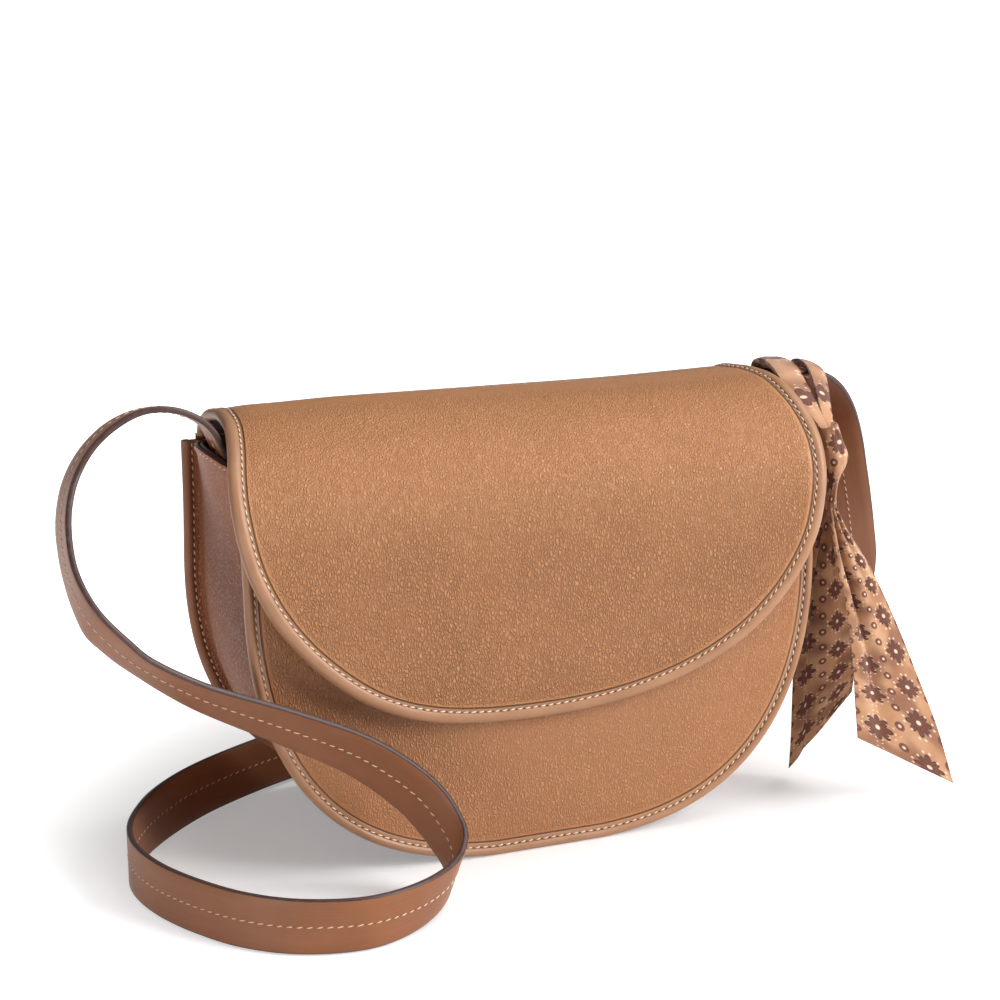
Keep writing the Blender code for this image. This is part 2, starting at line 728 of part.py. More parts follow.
def add_snap_socket(panel, stiffener, metal):
    """The snap's lower half on the front panel, with its washer behind the leather."""
    foot = wall_point(-1, 0.0, snap_height, 0.0, front_mouth_height)
    above = wall_point(-1, 0.0, snap_height + snap_radius, 0.0, front_mouth_height)
    rise = (above - foot).normalized()
    axis = Vector((0.0, -rise.z, rise.y))
    round_off = snap_rim_round
    top = clearance + snap_socket_height
    profile = (
        (0.0, -panel_thickness), (snap_stem_radius, -panel_thickness), (snap_stem_radius, clearance),
        (snap_radius, clearance), (snap_radius, top - round_off), (snap_radius - round_off, top),
        (snap_recess_radius, top), (snap_recess_radius, top - snap_recess_depth),
        (0.0, top - snap_recess_depth),
    )
    add_turned("snap_socket", profile, foot, axis, metal)
    near = -panel_thickness - clearance
    far = near - snap_washer_thickness
    profile = ((0.0, far), (snap_washer_radius, far), (snap_washer_radius, near), (0.0, near))
    add_turned("snap_socket_washer", profile, foot, axis, metal)
    reach = snap_radius
    cut_hole(panel, snap_stem_radius + snap_hole_clearance, foot, axis, reach)
    cut_hole(stiffener, snap_washer_radius + snap_hole_clearance * 2, foot, axis, reach)


def build_flap(finishes, shape):
    """The flap's layers, bound edge and snap stud, all carried by the hinge line."""
    start = shape.place(0.0)[0]
    hinge = bpy.data.objects.new("flap_hinge_line", None)
    hinge.location = (0.0, start.y + hinge_standoff + centre_shift, mouth_height + hinge_rise)
    bpy.context.scene.collection.objects.link(hinge)
    leather_depth = flap_leather_thickness / 2
    inter_depth = flap_leather_thickness + clearance + flap_interlining_thickness / 2
    lining_depth = flap_core_thickness() - flap_lining_thickness / 2
    add_sheet("flap_leather", shape.rows(seam_inset, leather_depth), flap_leather_thickness,
              finishes["tan"], hinge)
    inter = add_sheet("flap_interlining", shape.rows(seam_inset, inter_depth),
                      flap_interlining_thickness, finishes["board"], hinge)
    inner = add_sheet("flap_lining", shape.rows(seam_inset, lining_depth), flap_lining_thickness,
                      finishes["lining"], hinge)
    flap_binding(shape, hinge, finishes["binding"])
    point, _, normal = shape.place(shape.length_at_front_height(snap_height))
    foot = point - normal * flap_core_thickness()
    inward = -normal
    base, top = clearance * 2, clearance * 2 + snap_plate_height
    round_off = snap_rim_round
    profile = (
        (0.0, -flap_lining_thickness), (snap_stem_radius, -flap_lining_thickness),
        (snap_stem_radius, base), (snap_radius, base), (snap_radius, top - round_off),
        (snap_radius - round_off, top), (snap_post_radius, top),
        (snap_post_radius, top + snap_post_height), (0.0, top + snap_post_height),
    )
    add_turned("snap_stud", profile, foot, inward, finishes["metal"], hinge)
    near = -flap_lining_thickness - clearance
    far = near - stud_washer_thickness
    profile = ((0.0, far), (snap_washer_radius, far), (snap_washer_radius, near), (0.0, near))
    add_turned("snap_stud_washer", profile, foot, inward, finishes["metal"], hinge)
    cut_hole(inner, snap_stem_radius + snap_hole_clearance, foot, inward,
             flap_lining_thickness + clearance / 2, hinge)
    middle = foot - inward * (flap_lining_thickness + clearance + flap_interlining_thickness / 2)
    cut_hole(inter, snap_washer_radius + snap_hole_clearance * 2, middle, inward,
             flap_interlining_thickness / 2 + clearance / 2, hinge)


def build_anchor_strip(finish):
    """The flap's rear margin, sewn flat on the back panel below the hinge line."""
    rows = []
    for step in range(3):
        height = mouth_height - anchor_height * (1 - step / 2)
        row = []
        for column in range(panel_columns + 1):
            across = anchor_half_width * (2 * column / panel_columns - 1)
            depth = -clearance - anchor_thickness / 2
            row.append(wall_point(1, across, height, depth, mouth_height))
        rows.append(row)
    add_sheet("flap_anchor_strip", rows, anchor_thickness, finish)


def strap_stations():
    """The strap's route as centres and half-width vectors."""
    stations = []
    for x, y, z, wx, wy, wz in strap_route_mm:
        centre = Vector((x, y, z)) * MM
        stations.append((centre, Vector((wx, wy, wz)).normalized() * (strap_width / 2)))
    return stations


def build_strap(finish):
    """The free strap and its two ends sewn inside the gusset's walls."""
    stations = strap_stations()
    add_band("shoulder_strap", stations, strap_thickness, finish)
    inner = gusset_thickness / 2 + wall_layer_gap * 2 + lining_thickness + strap_thickness / 2
    for word, side, (top_centre, half) in (("left", -1, stations[0]), ("right", 1, stations[-1])):
        points = []
        for share in (0.0, 0.5, 1.0):
            height = strap_end_top - strap_end_height * share
            across = outline_half_width(height) - wall_inset + bulge_at(height) * strap_seat_share - inner
            points.append((Vector((side * across, top_centre.y, height)), half))
        add_band("strap_end_" + word, points, strap_thickness, finish)


def turn_frame(stations, route_share):
    """Centre, half width, upward normal and direction of the strap at a share of its stations."""
    index = round(route_share * (len(stations) - 1))
    centre, half = stations[index]
    along = (stations[index + 1][0] - stations[index - 1][0]).normalized()
    normal = along.cross(half).normalized()
    if normal.z < 0:
        normal = -normal
    return centre, half, normal, along


def add_turn(name, stations, route_share, shares, start_width, end, finish):
    """A stretch of scarf laid across the strap, falling forwards to the knot."""
    centre, half, normal, along = turn_frame(stations, route_share)
    if half.y < 0:
        half = -half
    seat = strap_thickness / 2 + clearance * 2 + scarf_thickness / 2 + turn_slack
    points = [centre + half * across + normal * (seat * lift) for across, lift in shares]
    start = points[-1]
    points += [Vector((start.x + (end.x - start.x) * drop, start.y + (end.y - start.y) * run,
                       start.z + (end.z - start.z) * drop)) for run, drop in fall_shares]
    laid = len(shares)
    band = []
    for step, point in enumerate(points):
        share = max(step - laid + 1, 0) / len(fall_shares)
        width = start_width + (turn_near_knot_width - start_width) * share ** 0.5
        direction = along.lerp(Vector((-1.0, 0.0, 0.0)), share).normalized()
        band.append((point, direction * (width / 2)))
    add_band(name, band, scarf_thickness, finish)


def add_tail(name, shares, end_shares, cut_shares, start, finish):
    """One hanging end of the scarf, cut on the slant."""
    band = []
    for drop, spread, forward, width_share in shares:
        point = start + Vector((tail_spread * spread, -tail_spread * forward, -tail_drop * drop))
        band.append((point, Vector((scarf_width * width_share / 2, 0.0, 0.0))))
    drop, spread, forward = end_shares
    point = start + Vector((tail_spread * spread, -tail_spread * forward, -tail_drop * drop))
    band.append((point, Vector([scarf_width * share for share in cut_shares])))
    add_band(name, band, scarf_thickness, finish)


def build_scarf(finish):
    """Two turns over the strap, one below it, the knot and two tails."""
    stations = strap_stations()
    knot = Vector((knot_side, -knot_front, knot_height))
    above = knot + Vector((0.0, 0.0, knot_half_height + clearance))
    beside = Vector((turn_near_knot_width / 2 + clearance, knot_half_depth / 3, 0.0))
    behind = Vector((0.0, knot_half_depth * 1.6, -knot_half_height * 0.5))
    add_turn("scarf_turn_1", stations, turn_one_route_share, over_turn_shares, turn_width,
             above + Vector((-beside.x, beside.y, 0.0)), finish)
    add_turn("scarf_turn_2", stations, turn_two_route_share, over_turn_shares, turn_width,
             above + beside, finish)
    add_turn("scarf_under_turn", stations, under_turn_route_share, under_turn_shares,
             under_turn_width, above + behind, finish)
    bm = bmesh.new()
    bmesh.ops.create_icosphere(bm, subdivisions=2, radius=1.0)
    bmesh.ops.scale(bm, verts=bm.verts, vec=(knot_half_width, knot_half_depth, knot_half_height))
    bmesh.ops.translate(bm, verts=bm.verts, vec=knot)
    add_object("scarf_knot", bm, finish, smooth=True)
    below = knot - Vector((0.0, 0.0, knot_half_height + clearance))
    apart = Vector((0.0, scarf_thickness / 2 + clearance, 0.0))
    add_tail("scarf_tail_right", right_tail_shares, right_tail_end_shares, right_tail_cut_shares,
             below - apart, finish)
    add_tail("scarf_tail_left", left_tail_shares, left_tail_end_shares, left_tail_cut_shares,
             below + apart, finish)


def main():
    clear_scene()
    finishes = {
        "tan": material("tan_leather", (0.36, 0.17, 0.08), 0.5),
        "binding": material("binding_leather", (0.37, 0.18, 0.09), 0.45),
        "strap": material("strap_leather", (0.36, 0.17, 0.08), 0.42),
        "board": material("board", (0.5, 0.42, 0.3), 0.85),
        "lining": material("lining", (0.08, 0.045, 0.03), 0.8),
        "metal": material("snap_metal", (0.75, 0.6, 0.35), 0.3, 1.0),
        "scarf": material("scarf_cloth", (0.55, 0.31, 0.16), 0.7),
    }
    build_body(finishes)
    build_flap(finishes, FlapShape())
    build_anchor_strip(finishes["tan"])
    build_strap(finishes["strap"])
    build_scarf(finishes["scarf"])


main()
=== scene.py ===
"""Half-moon crossbody bag in pebbled leather, with its long flat strap and a scarf tied on it.

Lengths are in metres. X runs along the bag's width, -Y is its front, +Z is up. The shapes are
measured from the bag's middle plane, which lies centre_shift behind the middle of its box.
"""
import math

import bmesh
import bpy
import numpy
from mathutils import Matrix, Vector, noise


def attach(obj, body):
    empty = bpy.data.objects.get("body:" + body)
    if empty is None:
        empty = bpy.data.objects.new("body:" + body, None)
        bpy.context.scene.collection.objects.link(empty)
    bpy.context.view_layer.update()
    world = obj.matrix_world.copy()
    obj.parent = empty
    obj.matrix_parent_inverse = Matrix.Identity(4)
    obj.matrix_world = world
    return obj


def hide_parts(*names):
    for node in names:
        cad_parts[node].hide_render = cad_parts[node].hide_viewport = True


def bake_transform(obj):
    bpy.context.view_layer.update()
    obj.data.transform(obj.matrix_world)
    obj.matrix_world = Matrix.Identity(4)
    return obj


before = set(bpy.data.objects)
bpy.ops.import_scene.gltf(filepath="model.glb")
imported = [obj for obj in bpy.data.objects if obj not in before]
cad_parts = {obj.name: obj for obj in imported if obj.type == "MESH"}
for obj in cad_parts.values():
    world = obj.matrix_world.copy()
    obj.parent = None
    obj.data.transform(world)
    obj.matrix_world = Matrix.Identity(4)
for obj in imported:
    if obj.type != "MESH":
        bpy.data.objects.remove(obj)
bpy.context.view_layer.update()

MM = 0.001

# Body outline, as the pattern is cut.
body_half_width = 137.5 * MM
widest_height = 127.0 * MM
sole_sink = 0.5 * MM
outline_height_power = 2.26
outline_width_power = 2.845
mouth_flare = 1.0 * MM
mouth_height = 180.0 * MM
front_mouth_height = 164.0 * MM
base_half_depth = 58.06 * MM
side_lean_share = 0.0851
centre_shift = 2.81 * MM

# Layers of the walls.
clearance = 0.3 * MM
panel_thickness = 1.6 * MM
gusset_thickness = 1.4 * MM
board_gap = 0.5 * MM
board_thickness = 1.0 * MM
lining_thickness = 0.7 * MM
facing_thickness = 1.2 * MM
facing_height = 22.0 * MM
panel_crown = 4.5 * MM
crown_rim = 8.0 * MM
inner_layer_inset = 10.3 * MM
wall_layer_gap = 0.8 * MM
panel_swell = 0.55 * MM
swell_size = 42.0 * MM
facing_hem_inset = 2.6 * MM

# Where a leather starts to lie loose or to be drawn in by its seam, and over what width: in
# millimetres from the seam, as the seam mark on the leather counts them.
body_loose = (9.0, 20.0)
body_drawn_in = (5.0, 5.0)
body_draw_depth = 0.35 * MM
flap_loose = (8.0, 22.0)
flap_drawn_in = (6.0, 4.0)
flap_draw_depth = 0.3 * MM
far_from_seam = 30.0

# Gusset.
seam_inset = 1.5 * MM
flange_bend_inset = 6.2 * MM
wall_inset = 8.0 * MM
wall_bulge = 4.0 * MM
wall_bulge_power = 0.8
mouth_bulge = 9.0 * MM
mouth_bulge_start = 140.0 * MM
flange_bend_depth = 2.0 * MM
wall_crease_depth = 1.1 * MM
wall_crease_share = 0.07
wall_crease_width = 0.05
inner_crease_depth = wall_crease_depth * 0.6
wall_slack = 0.9 * MM
wall_slack_size = 34.0 * MM
mouth_rise_share = 0.18
mouth_crown = 6.0 * MM
mouth_crown_reach = 26.0 * MM
mouth_crown_power = 1.2

# Bound edges: the roll reaches further over the flap's leather than over the body's.
roll_half = 2.7 * MM
roll_nose = 1.5 * MM
body_roll_lip = 2.5 * MM
flap_roll_lip = 3.9 * MM
roll_unevenness = 0.03
# The pressed groove's middle, in millimetres from the seam. The gusset has none.
body_groove_inset = 6.6
flap_groove_inset = 7.4
no_groove_inset = -20.0

# Flap.
flap_half_width = 141.9 * MM
flap_reach = 63.5 * MM
flap_rise = 17.3 * MM
flap_oval_height = 171.2 * MM
flap_oval_drop = 106.4 * MM
flap_oval_power = 2.12
# The flap lies fuller on its left: its tip is skewed, its crest lifted. Its upper right corner
# stands out.
flap_skew = 3.9 * MM
flap_skew_centre = -74.0 * MM
flap_skew_reach = 44.0 * MM
flap_skew_along = (110.0 * MM, 80.0 * MM)
flap_crest_lift = 4.5 * MM
flap_crest_reach = 28.0 * MM
flap_crest_left_share = 0.35
flap_crest_left_width = 30.0 * MM
flap_crest_right = (-85.0 * MM, 165.0 * MM)
flap_stretch_reach = 10.0 * MM
flap_loose_along = (12.0 * MM, 30.0 * MM)
flap_corner_push = 5.0 * MM
flap_corner_reach = 26.0 * MM
flap_corner_past_crest = 10.0 * MM
flap_corner_power = 4
flap_tip_half_width = 24.0 * MM
flap_tip_sag_power = 6
flap_leather_thickness = 1.4 * MM
flap_interlining_thickness = 0.7 * MM
flap_lining_thickness = 0.8 * MM
flap_profile_shares = (
    # share of the reach, height from the mouth (of the rise above it, of the mouth's height
    # below it), share of the half width
    (0.699, 0.067080, 0.920),
    (0.698, 0.213081, 0.920),
    (0.657, 0.441173, 0.921),
    (0.580, 0.657861, 0.922),
    (0.470, 0.828931, 0.923),
    (0.271, 0.942977, 0.924),
    (0.091, 1.0, 0.929),
    (-0.186, 0.937275, 0.942),
    (-0.425, 0.606546, 0.967),
    (-0.570, 0.218785, 0.986),
    (-0.688, -0.025557, 0.998),
    (-0.778, -0.080582, 1.0),
    (-0.827, -0.126619, 1.0),
    (-0.867, -0.184493, 1.0),
    (-0.905, -0.235572, 1.0),
    (-0.930, -0.287747, 1.0),
    (-0.965, -0.388918, 1.0),
    (-1.0, -0.500173, 1.0),
    (-0.996, -0.583478, 1.0),
    (-0.984, -0.643764, 1.0),
)
anchor_height = 16.0 * MM
anchor_half_width = 125.6 * MM
anchor_thickness = 1.4 * MM
crease_thickness = 0.6 * MM
crease_stand = 0.15 * MM
crease_overhang = 5.0 * MM
crease_below_mouth = 1.6 * MM
crease_above_rear = 1.0 * MM

# Strap.
strap_width = 24.0 * MM
strap_thickness = 2.7 * MM
strap_edge_round = 0.75 * MM
strap_end_height = 38.0 * MM
strap_end_top = 157.0 * MM
strap_seat_share = 0.85
strap_end_stitch_inset = 3.0 * MM
# Centre of the strap, then the direction towards its first edge.
strap_route_mm = (
    (-129.0, -1.0, 157.4, 0.0, -1.0, 0.0),
    (-130.2, -1.5, 169.5, 0.0, -1.0, 0.0),
    (-132.2, -2.0, 181.0, 0.0, -1.0, 0.0),
    (-135.6, -2.5, 190.0, -0.05, -1.0, 0.05),
    (-139.6, -3.0, 197.0, -0.03, -1.0, 0.07),
    (-146.5, -3.8, 202.6, 0.0, -1.0, 0.12),
    (-157.4, -4.6, 206.6, 0.0, -1.0, 0.20),
    (-170.1, -4.7, 206.4, 0.0, -1.0, 0.26),
    (-182.5, -5.8, 201.6, 0.02, -1.0, 0.28),
    (-193.5, -7.8, 193.0, 0.04, -0.97, 0.34),
    (-201.8, -12.0, 182.0, 0.06, -0.9, 0.42),
    (-207.2, -20.0, 170.3, 0.06, -0.79, 0.60),
    (-210.0, -31.0, 159.0, 0.0, -0.68, 0.73),
    (-210.8, -43.5, 148.0, -0.06, -0.64, 0.77),
    (-209.4, -54.0, 139.4, -0.04, -0.68, 0.72),
    (-206.0, -60.0, 132.2, 0.08, -0.80, 0.56),
    (-199.0, -61.8, 124.0, 0.28, -0.88, 0.34),
    (-187.0, -61.0, 112.5, 0.32, -0.88, 0.30),
    (-162.0, -62.5, 95.8, 0.22, -0.78, 0.55),
    (-127.5, -67.0, 79.4, 0.26, -0.64, 0.72),
    (-95.5, -71.8, 63.0, 0.39, -0.53, 0.75),
    (-72.5, -78.0, 44.5, 0.50, -0.50, 0.70),
    (-62.3, -87.5, 29.0, 0.38, -0.56, 0.73),
    (-61.6, -98.5, 19.2, 0.12, -0.50, 0.86),
    (-71.5, -111.0, 14.4, 0.08, -0.34, 0.94),
    (-90.5, -123.3, 12.6, 0.05, -0.18, 0.98),
    (-114.0, -129.4, 12.4, 0.0, -0.05, 1.0),
    (-140.0, -122.4, 12.4, 0.03, 0.05, 1.0),
    (-159.8, -106.8, 12.4, 0.08, 0.07, 1.0),
    (-174.2, -85.0, 12.4, 0.07, 0.05, 1.0),
    (-183.8, -61.7, 12.4, 0.04, 0.02, 1.0),
    (-187.2, -38.5, 12.4, 0.02, 0.0, 1.0),
    (-183.8, -18.2, 12.4, -0.02, 0.02, 1.0),
    (-174.2, 0.6, 12.4, -0.09, 0.08, 0.99),
    (-158.6, 20.2, 12.4, -0.20, 0.22, 0.95),
    (-136.8, 39.4, 12.4, -0.24, 0.34, 0.91),
    (-110.0, 55.8, 12.4, -0.20, 0.36, 0.91),
    (-81.0, 69.2, 12.4, -0.12, 0.28, 0.95),
    (-44.5, 78.0, 12.4, -0.03, 0.15, 0.99),
    (-3.0, 81.4, 12.4, 0.0, 0.04, 1.0),
    (39.0, 82.2, 12.4, 0.0, -0.03, 1.0),
    (80.3, 81.4, 12.4, 0.0, -0.05, 1.0),
    (116.3, 79.4, 12.6, -0.04, -0.04, 1.0),
    (149.0, 75.9, 15.6, -0.18, 0.02, 0.98),
    (175.2, 70.5, 24.6, -0.42, 0.11, 0.90),
    (193.3, 61.7, 37.9, -0.62, 0.19, 0.76),
    (203.6, 50.0, 54.0, -0.78, 0.26, 0.55),
    (206.6, 39.0, 70.5, -0.90, 0.28, 0.28),
    (203.8, 29.6, 88.0, -0.95, 0.27, 0.02),
    (197.6, 22.0, 106.0, -0.94, 0.30, -0.08),
    (191.4, 16.0, 124.2, -0.92, 0.37, -0.10),
    (186.0, 12.2, 141.6, -0.87, 0.46, -0.10),
    (181.4, 9.8, 158.6, -0.79, 0.59, -0.12),
    (175.8, 8.4, 174.6, -0.63, 0.75, -0.16),
    (168.6, 7.8, 186.2, -0.42, 0.89, -0.16),
    (160.2, 7.4, 192.8, -0.22, 0.97, -0.10),
    (151.4, 7.0, 194.4, -0.08, 1.0, -0.04),
    (142.6, 6.6, 191.4, 0.0, 1.0, 0.0),
    (135.0, 6.0, 184.8, 0.0, 1.0, 0.0),
    (131.0, 5.4, 176.0, 0.0, 1.0, 0.0),
    (129.4, 5.0, 166.6, 0.0, 1.0, 0.0),
    (129.0, 5.0, 157.4, 0.0, 1.0, 0.0),
)

# Scarf: a folded ribbon. Route of each gathered stretch: centre, width, depth.
scarf_width = 34.0 * MM
scarf_cloth_thickness = 0.8 * MM
right_tail_length = 152.0 * MM
left_tail_length = 138.0 * MM
tail_face = Vector((0.12, -1.0, 0.0))
knot_wrap = 33.0 * MM
gathered_share = 0.62
fold_wander = 0.35
fold_wander_length = 13.0 * MM
print_repeat = 17.5 * MM
turn_one_mm = (
    (148.5, 11.0, 188.4, 8.0, 2.2), (147.2, 18.2, 189.0, 10.5, 2.8), (145.6, 20.6, 193.0, 12.0, 3.8),
    (144.8, 16.6, 196.8, 13.0, 5.0), (144.7, 8.0, 198.4, 13.6, 5.6), (143.7, -3.0, 197.2, 13.8, 5.6),
    (142.9, -13.0, 193.0, 13.2, 5.0), (143.6, -23.0, 187.4, 11.4, 4.4), (145.1, -32.0, 181.8, 8.4, 4.0),
    (147.0, -38.5, 176.0, 5.6, 3.2),
)
turn_two_mm = (
    (160.5, 12.0, 186.0, 8.0, 2.0), (161.8, 19.4, 186.2, 9.4, 2.4), (163.4, 21.4, 189.8, 9.6, 2.8),
    (163.4, 16.4, 194.8, 10.0, 3.2), (161.8, 6.0, 196.4, 10.2, 3.6), (159.2, -5.0, 195.6, 10.4, 3.6),
    (156.2, -14.5, 192.0, 9.4, 3.6), (152.9, -24.0, 186.6, 8.2, 3.4), (150.3, -32.0, 181.2, 6.8, 3.2),
    (149.0, -38.5, 175.4, 5.0, 3.0),
)
under_turn_mm = (
    (152.6, 16.0, 188.0, 8.0, 1.8), (152.2, 8.0, 188.8, 8.0, 1.8), (151.6, -3.0, 188.4, 8.0, 1.8),
    (150.6, -14.0, 186.0, 7.4, 2.0), (149.8, -25.0, 182.4, 6.4, 2.2), (148.8, -33.0, 178.4, 5.4, 2.4),
    (148.2, -38.5, 173.0, 4.6, 2.4),
)
# Down the knot: centre, half width, half depth.
knot_mm = (
    (148.0, -38.6, 177.0, 2.2, 2.6), (148.0, -38.4, 178.4, 3.6, 4.0), (148.3, -39.2, 176.6, 4.2, 4.7),
    (148.8, -40.8, 171.0, 4.8, 5.2), (149.5, -42.6, 164.5, 5.7, 5.6), (149.2, -43.6, 159.0, 4.6, 5.0),
    (147.8, -44.4, 152.0, 3.0, 4.2), (147.2, -45.0, 145.5, 2.7, 3.7), (147.4, -45.4, 140.6, 2.6, 3.3),
)
# Folds drawn round the knot: depth, count round it, turn on the way down, start. The collar
# wrapped over its top ends at a share of the way down, and that end wavers round the knot.
knot_folds = ((0.06, 2, 4.6, 0.0), (0.045, 5, -7.0, 0.6), (0.03, 9, 9.0, 0.0))
knot_fullness = 0.92
knot_tilt = 0.9
collar_swell = 0.13
collar_rise = 6
collar_end = 0.60
collar_waver = 0.16
collar_waver_start = 0.6
collar_fade = 0.012
# Folds down a tail: height, place across it, drift towards the left edge, reach.
tail_folds = ((-1.15, 0.34, 0.08, 0.10), (0.55, 0.14, 0.0, 0.11), (0.35, 0.62, 0.0, 0.22))
tail_ripple = 0.42
tail_ripple_turns = 2.6
tail_ripple_power = 1.3
tail_wave = 0.25
tail_wave_turns = (2.2, 3.0, 9.0)
# Down each tail: its left edge, its right edge, how deep its folds are.
right_tail_mm = (
    (145.2, -46.0, 143.0, 148.8, -45.6, 143.0, 1.6),
    (146.2, -48.0, 129.5, 155.7, -47.0, 129.4, 3.2),
    (146.6, -52.0, 116.1, 164.2, -51.0, 115.0, 3.6),
    (149.1, -57.0, 99.7, 169.3, -56.0, 102.1, 3.2),
    (149.5, -62.0, 84.5, 177.5, -61.0, 81.0, 2.6),
    (150.0, -66.0, 68.1, 186.5, -65.0, 57.3, 1.8),
    (149.9, -69.0, 53.3, 195.2, -69.0, 33.5, 1.3),
    (150.5, -72.0, 35.5, 203.6, -72.0, 5.0, 0.9),
)
left_tail_mm = (
    (146.4, -42.4, 143.0, 149.0, -44.2, 143.0, 1.2),
    (142.6, -36.0, 117.9, 151.7, -46.4, 119.9, 2.6),
    (140.2, -32.0, 92.4, 155.1, -48.6, 100.5, 2.6),
    (139.6, -29.0, 69.1, 157.6, -50.0, 80.8, 2.2),
    (140.2, -27.0, 45.6, 159.3, -50.0, 66.7, 1.8),
    (141.2, -25.0, 22.0, 159.7, -50.0, 56.7, 1.4),
    (141.2, -24.0, 4.7, 158.9, -50.0, 49.8, 1.0),
)

# Finishes. A pebble's turns along each axis make it stand upright; relief is flatter high up.
pebble_size = 1.32 * MM
pebble_turns = (1.15, 1.0, 0.56)
pebble_relief = 1.1 * MM
body_pebble_relief = 0.42 * MM
gusset_pebble_relief = 0.9 * MM
pressed_heights = (130.0 * MM, 190.0 * MM)
pressed_share = 0.5
groove_edges = (0.1, 0.62)
strap_rim_shares = (0.455, 0.492)
lining_yarn = 0.55 * MM
# Ordinary limits for the middle range of a noise.
noise_range = (0.3, 0.7)

# Stitching.
stitch_pitch = 3.7 * MM
stitch_length = 2.8 * MM
strap_stitch_pitch = 4.2 * MM
strap_stitch_length = 3.2 * MM
thread_thickness = 0.76 * MM
strap_thread_thickness = 0.56 * MM
stitch_lean = math.radians(11.0)
stitch_seed = 3
thread_height_share = 1.15
stitch_bow_share = 1.1
stitch_uneven_share = 0.16
hole_length_share = 1.5
hole_width_share = 1.15
hole_uneven_share = 0.2
hole_size = 0.46 * MM
strap_hole_size = 0.36 * MM
hole_depth = 0.16 * MM
thread_sink = 0.02 * MM
thread_lift = 0.05 * MM
hem_thread_lift = 0.1 * MM
flap_thread_lift = 0.3 * MM
seam_beside_roll = 0.45 * MM
hem_drop = 1.7 * MM
hem_skip = 6

# Mesh density.
side_steps = 96
sole_steps = 14
panel_columns = 92
inner_columns = 24
facing_steps = 6
side_facing_steps = 8
wall_columns = 12
wall_steps = 5
flap_steps = 96
flap_columns = 96
flap_inner_columns = 40
anchor_columns = 48
anchor_steps = 6
crease_steps = 8
strap_end_steps = 12
strap_dome_steps = 6
profile_samples = 14
outline_samples = 1200
oval_samples = 240
route_samples = 9
ribbon_samples = 8
knot_samples = 7
knot_sides = 44
tail_samples = 9
tail_columns = 44
roll_samples = 22
sheet_sharp_angle = math.radians(50.0)
roll_sharp_angle = math.radians(45.0)

# The photograph's view, fitted to the bag's outline.
view_turn = math.radians(22.636)
view_dip = math.radians(-15.537)
view_place = (-0.4561, -1.09029, 0.4776)
view_lens = 96.63
view_sensor = 36.0
view_near = 0.05

# Studio. The floor's painted glow is weak near the bag and comes in fully past its shadow, which whitens
# the bag's cast shadow further off.
floor_half_size = 6.0
floor_colour = (0.74, 0.735, 0.73, 1.0)
white = (1.0, 1.0, 1.0, 1.0)
shadow_reach = (0.13, 0.28)
shadow_glow = 0.28
sky_level = 0.22
light_aim = Vector((0.0, 0.0, 0.1))
studio_lights = (
    # name, place, width, watts
    ("key_light", (2.0, -1.7, 1.7), 1.5, 84.0),
    ("top_light", (1.0, -0.1, 2.1), 1.3, 24.0),
    ("low_fill", (-2.0, -1.3, 0.12), 1.1, 27.0),
    ("side_light", (1.6, -1.5, 0.6), 0.8, 11.0),
)


# ---------------------------------------------------------------- finishes


def put(tree, kind, inputs=None, **settings):
    """One node, with its settings and with its inputs set to values or joined to sockets."""
    node = tree.nodes.new(kind)
    for key, value in settings.items():
        setattr(node, key, value)
    for key, value in (inputs or {}).items():
        if isinstance(value, bpy.types.NodeSocket):
            tree.links.new(value, node.inputs[key])
        else:
            node.inputs[key].default_value = value
    return node


def work_out(tree, operation, first, second=0.0, third=0.0):
    """A sum of up to three values."""
    node = tree.nodes.new("ShaderNodeMath")
    node.operation = operation
    for socket, value in zip(node.inputs, (first, second, third)):
        if isinstance(value, bpy.types.NodeSocket):
            tree.links.new(value, socket)
        else:
            socket.default_value = value
    return node.outputs[0]


def times(tree, first, second):
    """The product of two values."""
    return work_out(tree, "MULTIPLY", first, second)


def unsigned(tree, value):
    """A value without its sign."""
    return work_out(tree, "ABSOLUTE", value)


def distance(tree, first, second):
    """How far two offsets reach together."""
    return work_out(tree, "SQRT", work_out(tree, "ADD", times(tree, first, first),
                                           times(tree, second, second)))


def fade(tree, value, low, high, bottom=0.0, top=1.0):
    """A smooth step of a value from one level to another."""
    step = put(tree, "ShaderNodeMapRange", {"Value": value, "From Min": low, "From Max": high,
                                           "To Min": bottom, "To Max": top},
               interpolation_type="SMOOTHSTEP")
    return step.outputs["Result"]


def inside(tree, value, edge, rim):
    """One where a value is below an edge, none past its rim."""
    return fade(tree, value, edge, rim, 1.0, 0.0)


def tint(tree, share, first, second):
    """A colour between two."""
    node = tree.nodes.new("ShaderNodeMix")
    node.data_type = "RGBA"
    for socket, value in ((node.inputs[0], share), (node.inputs[6], first), (node.inputs[7], second)):
        if isinstance(value, bpy.types.NodeSocket):
            tree.links.new(value, socket)
        elif socket.type == "RGBA":
            socket.default_value = (*value, 1.0)
        else:
            socket.default_value = value
    return node.outputs[2]


def shaded(colour, *shares):
    """A colour with its channels times one share or three, none above 1."""
    return tuple(min(channel * share, 1.0)
                 for channel, share in zip(colour, shares if len(shares) > 1 else shares * 3))


def start_finish(name, roughness, metallic=0.0, sheen=0.0, specular=0.5):
    """A new surface with its fixed numbers on the shader's own sockets."""
    made = bpy.data.materials.new(name)
    made.use_nodes = True
    tree = made.node_tree
    shader = tree.nodes["Principled BSDF"]
    shader.inputs["Roughness"].default_value = roughness
    shader.inputs["Metallic"].default_value = metallic
    shader.inputs["Specular IOR Level"].default_value = specular
    shader.inputs["Sheen Weight"].default_value = sheen
    return made, tree, shader


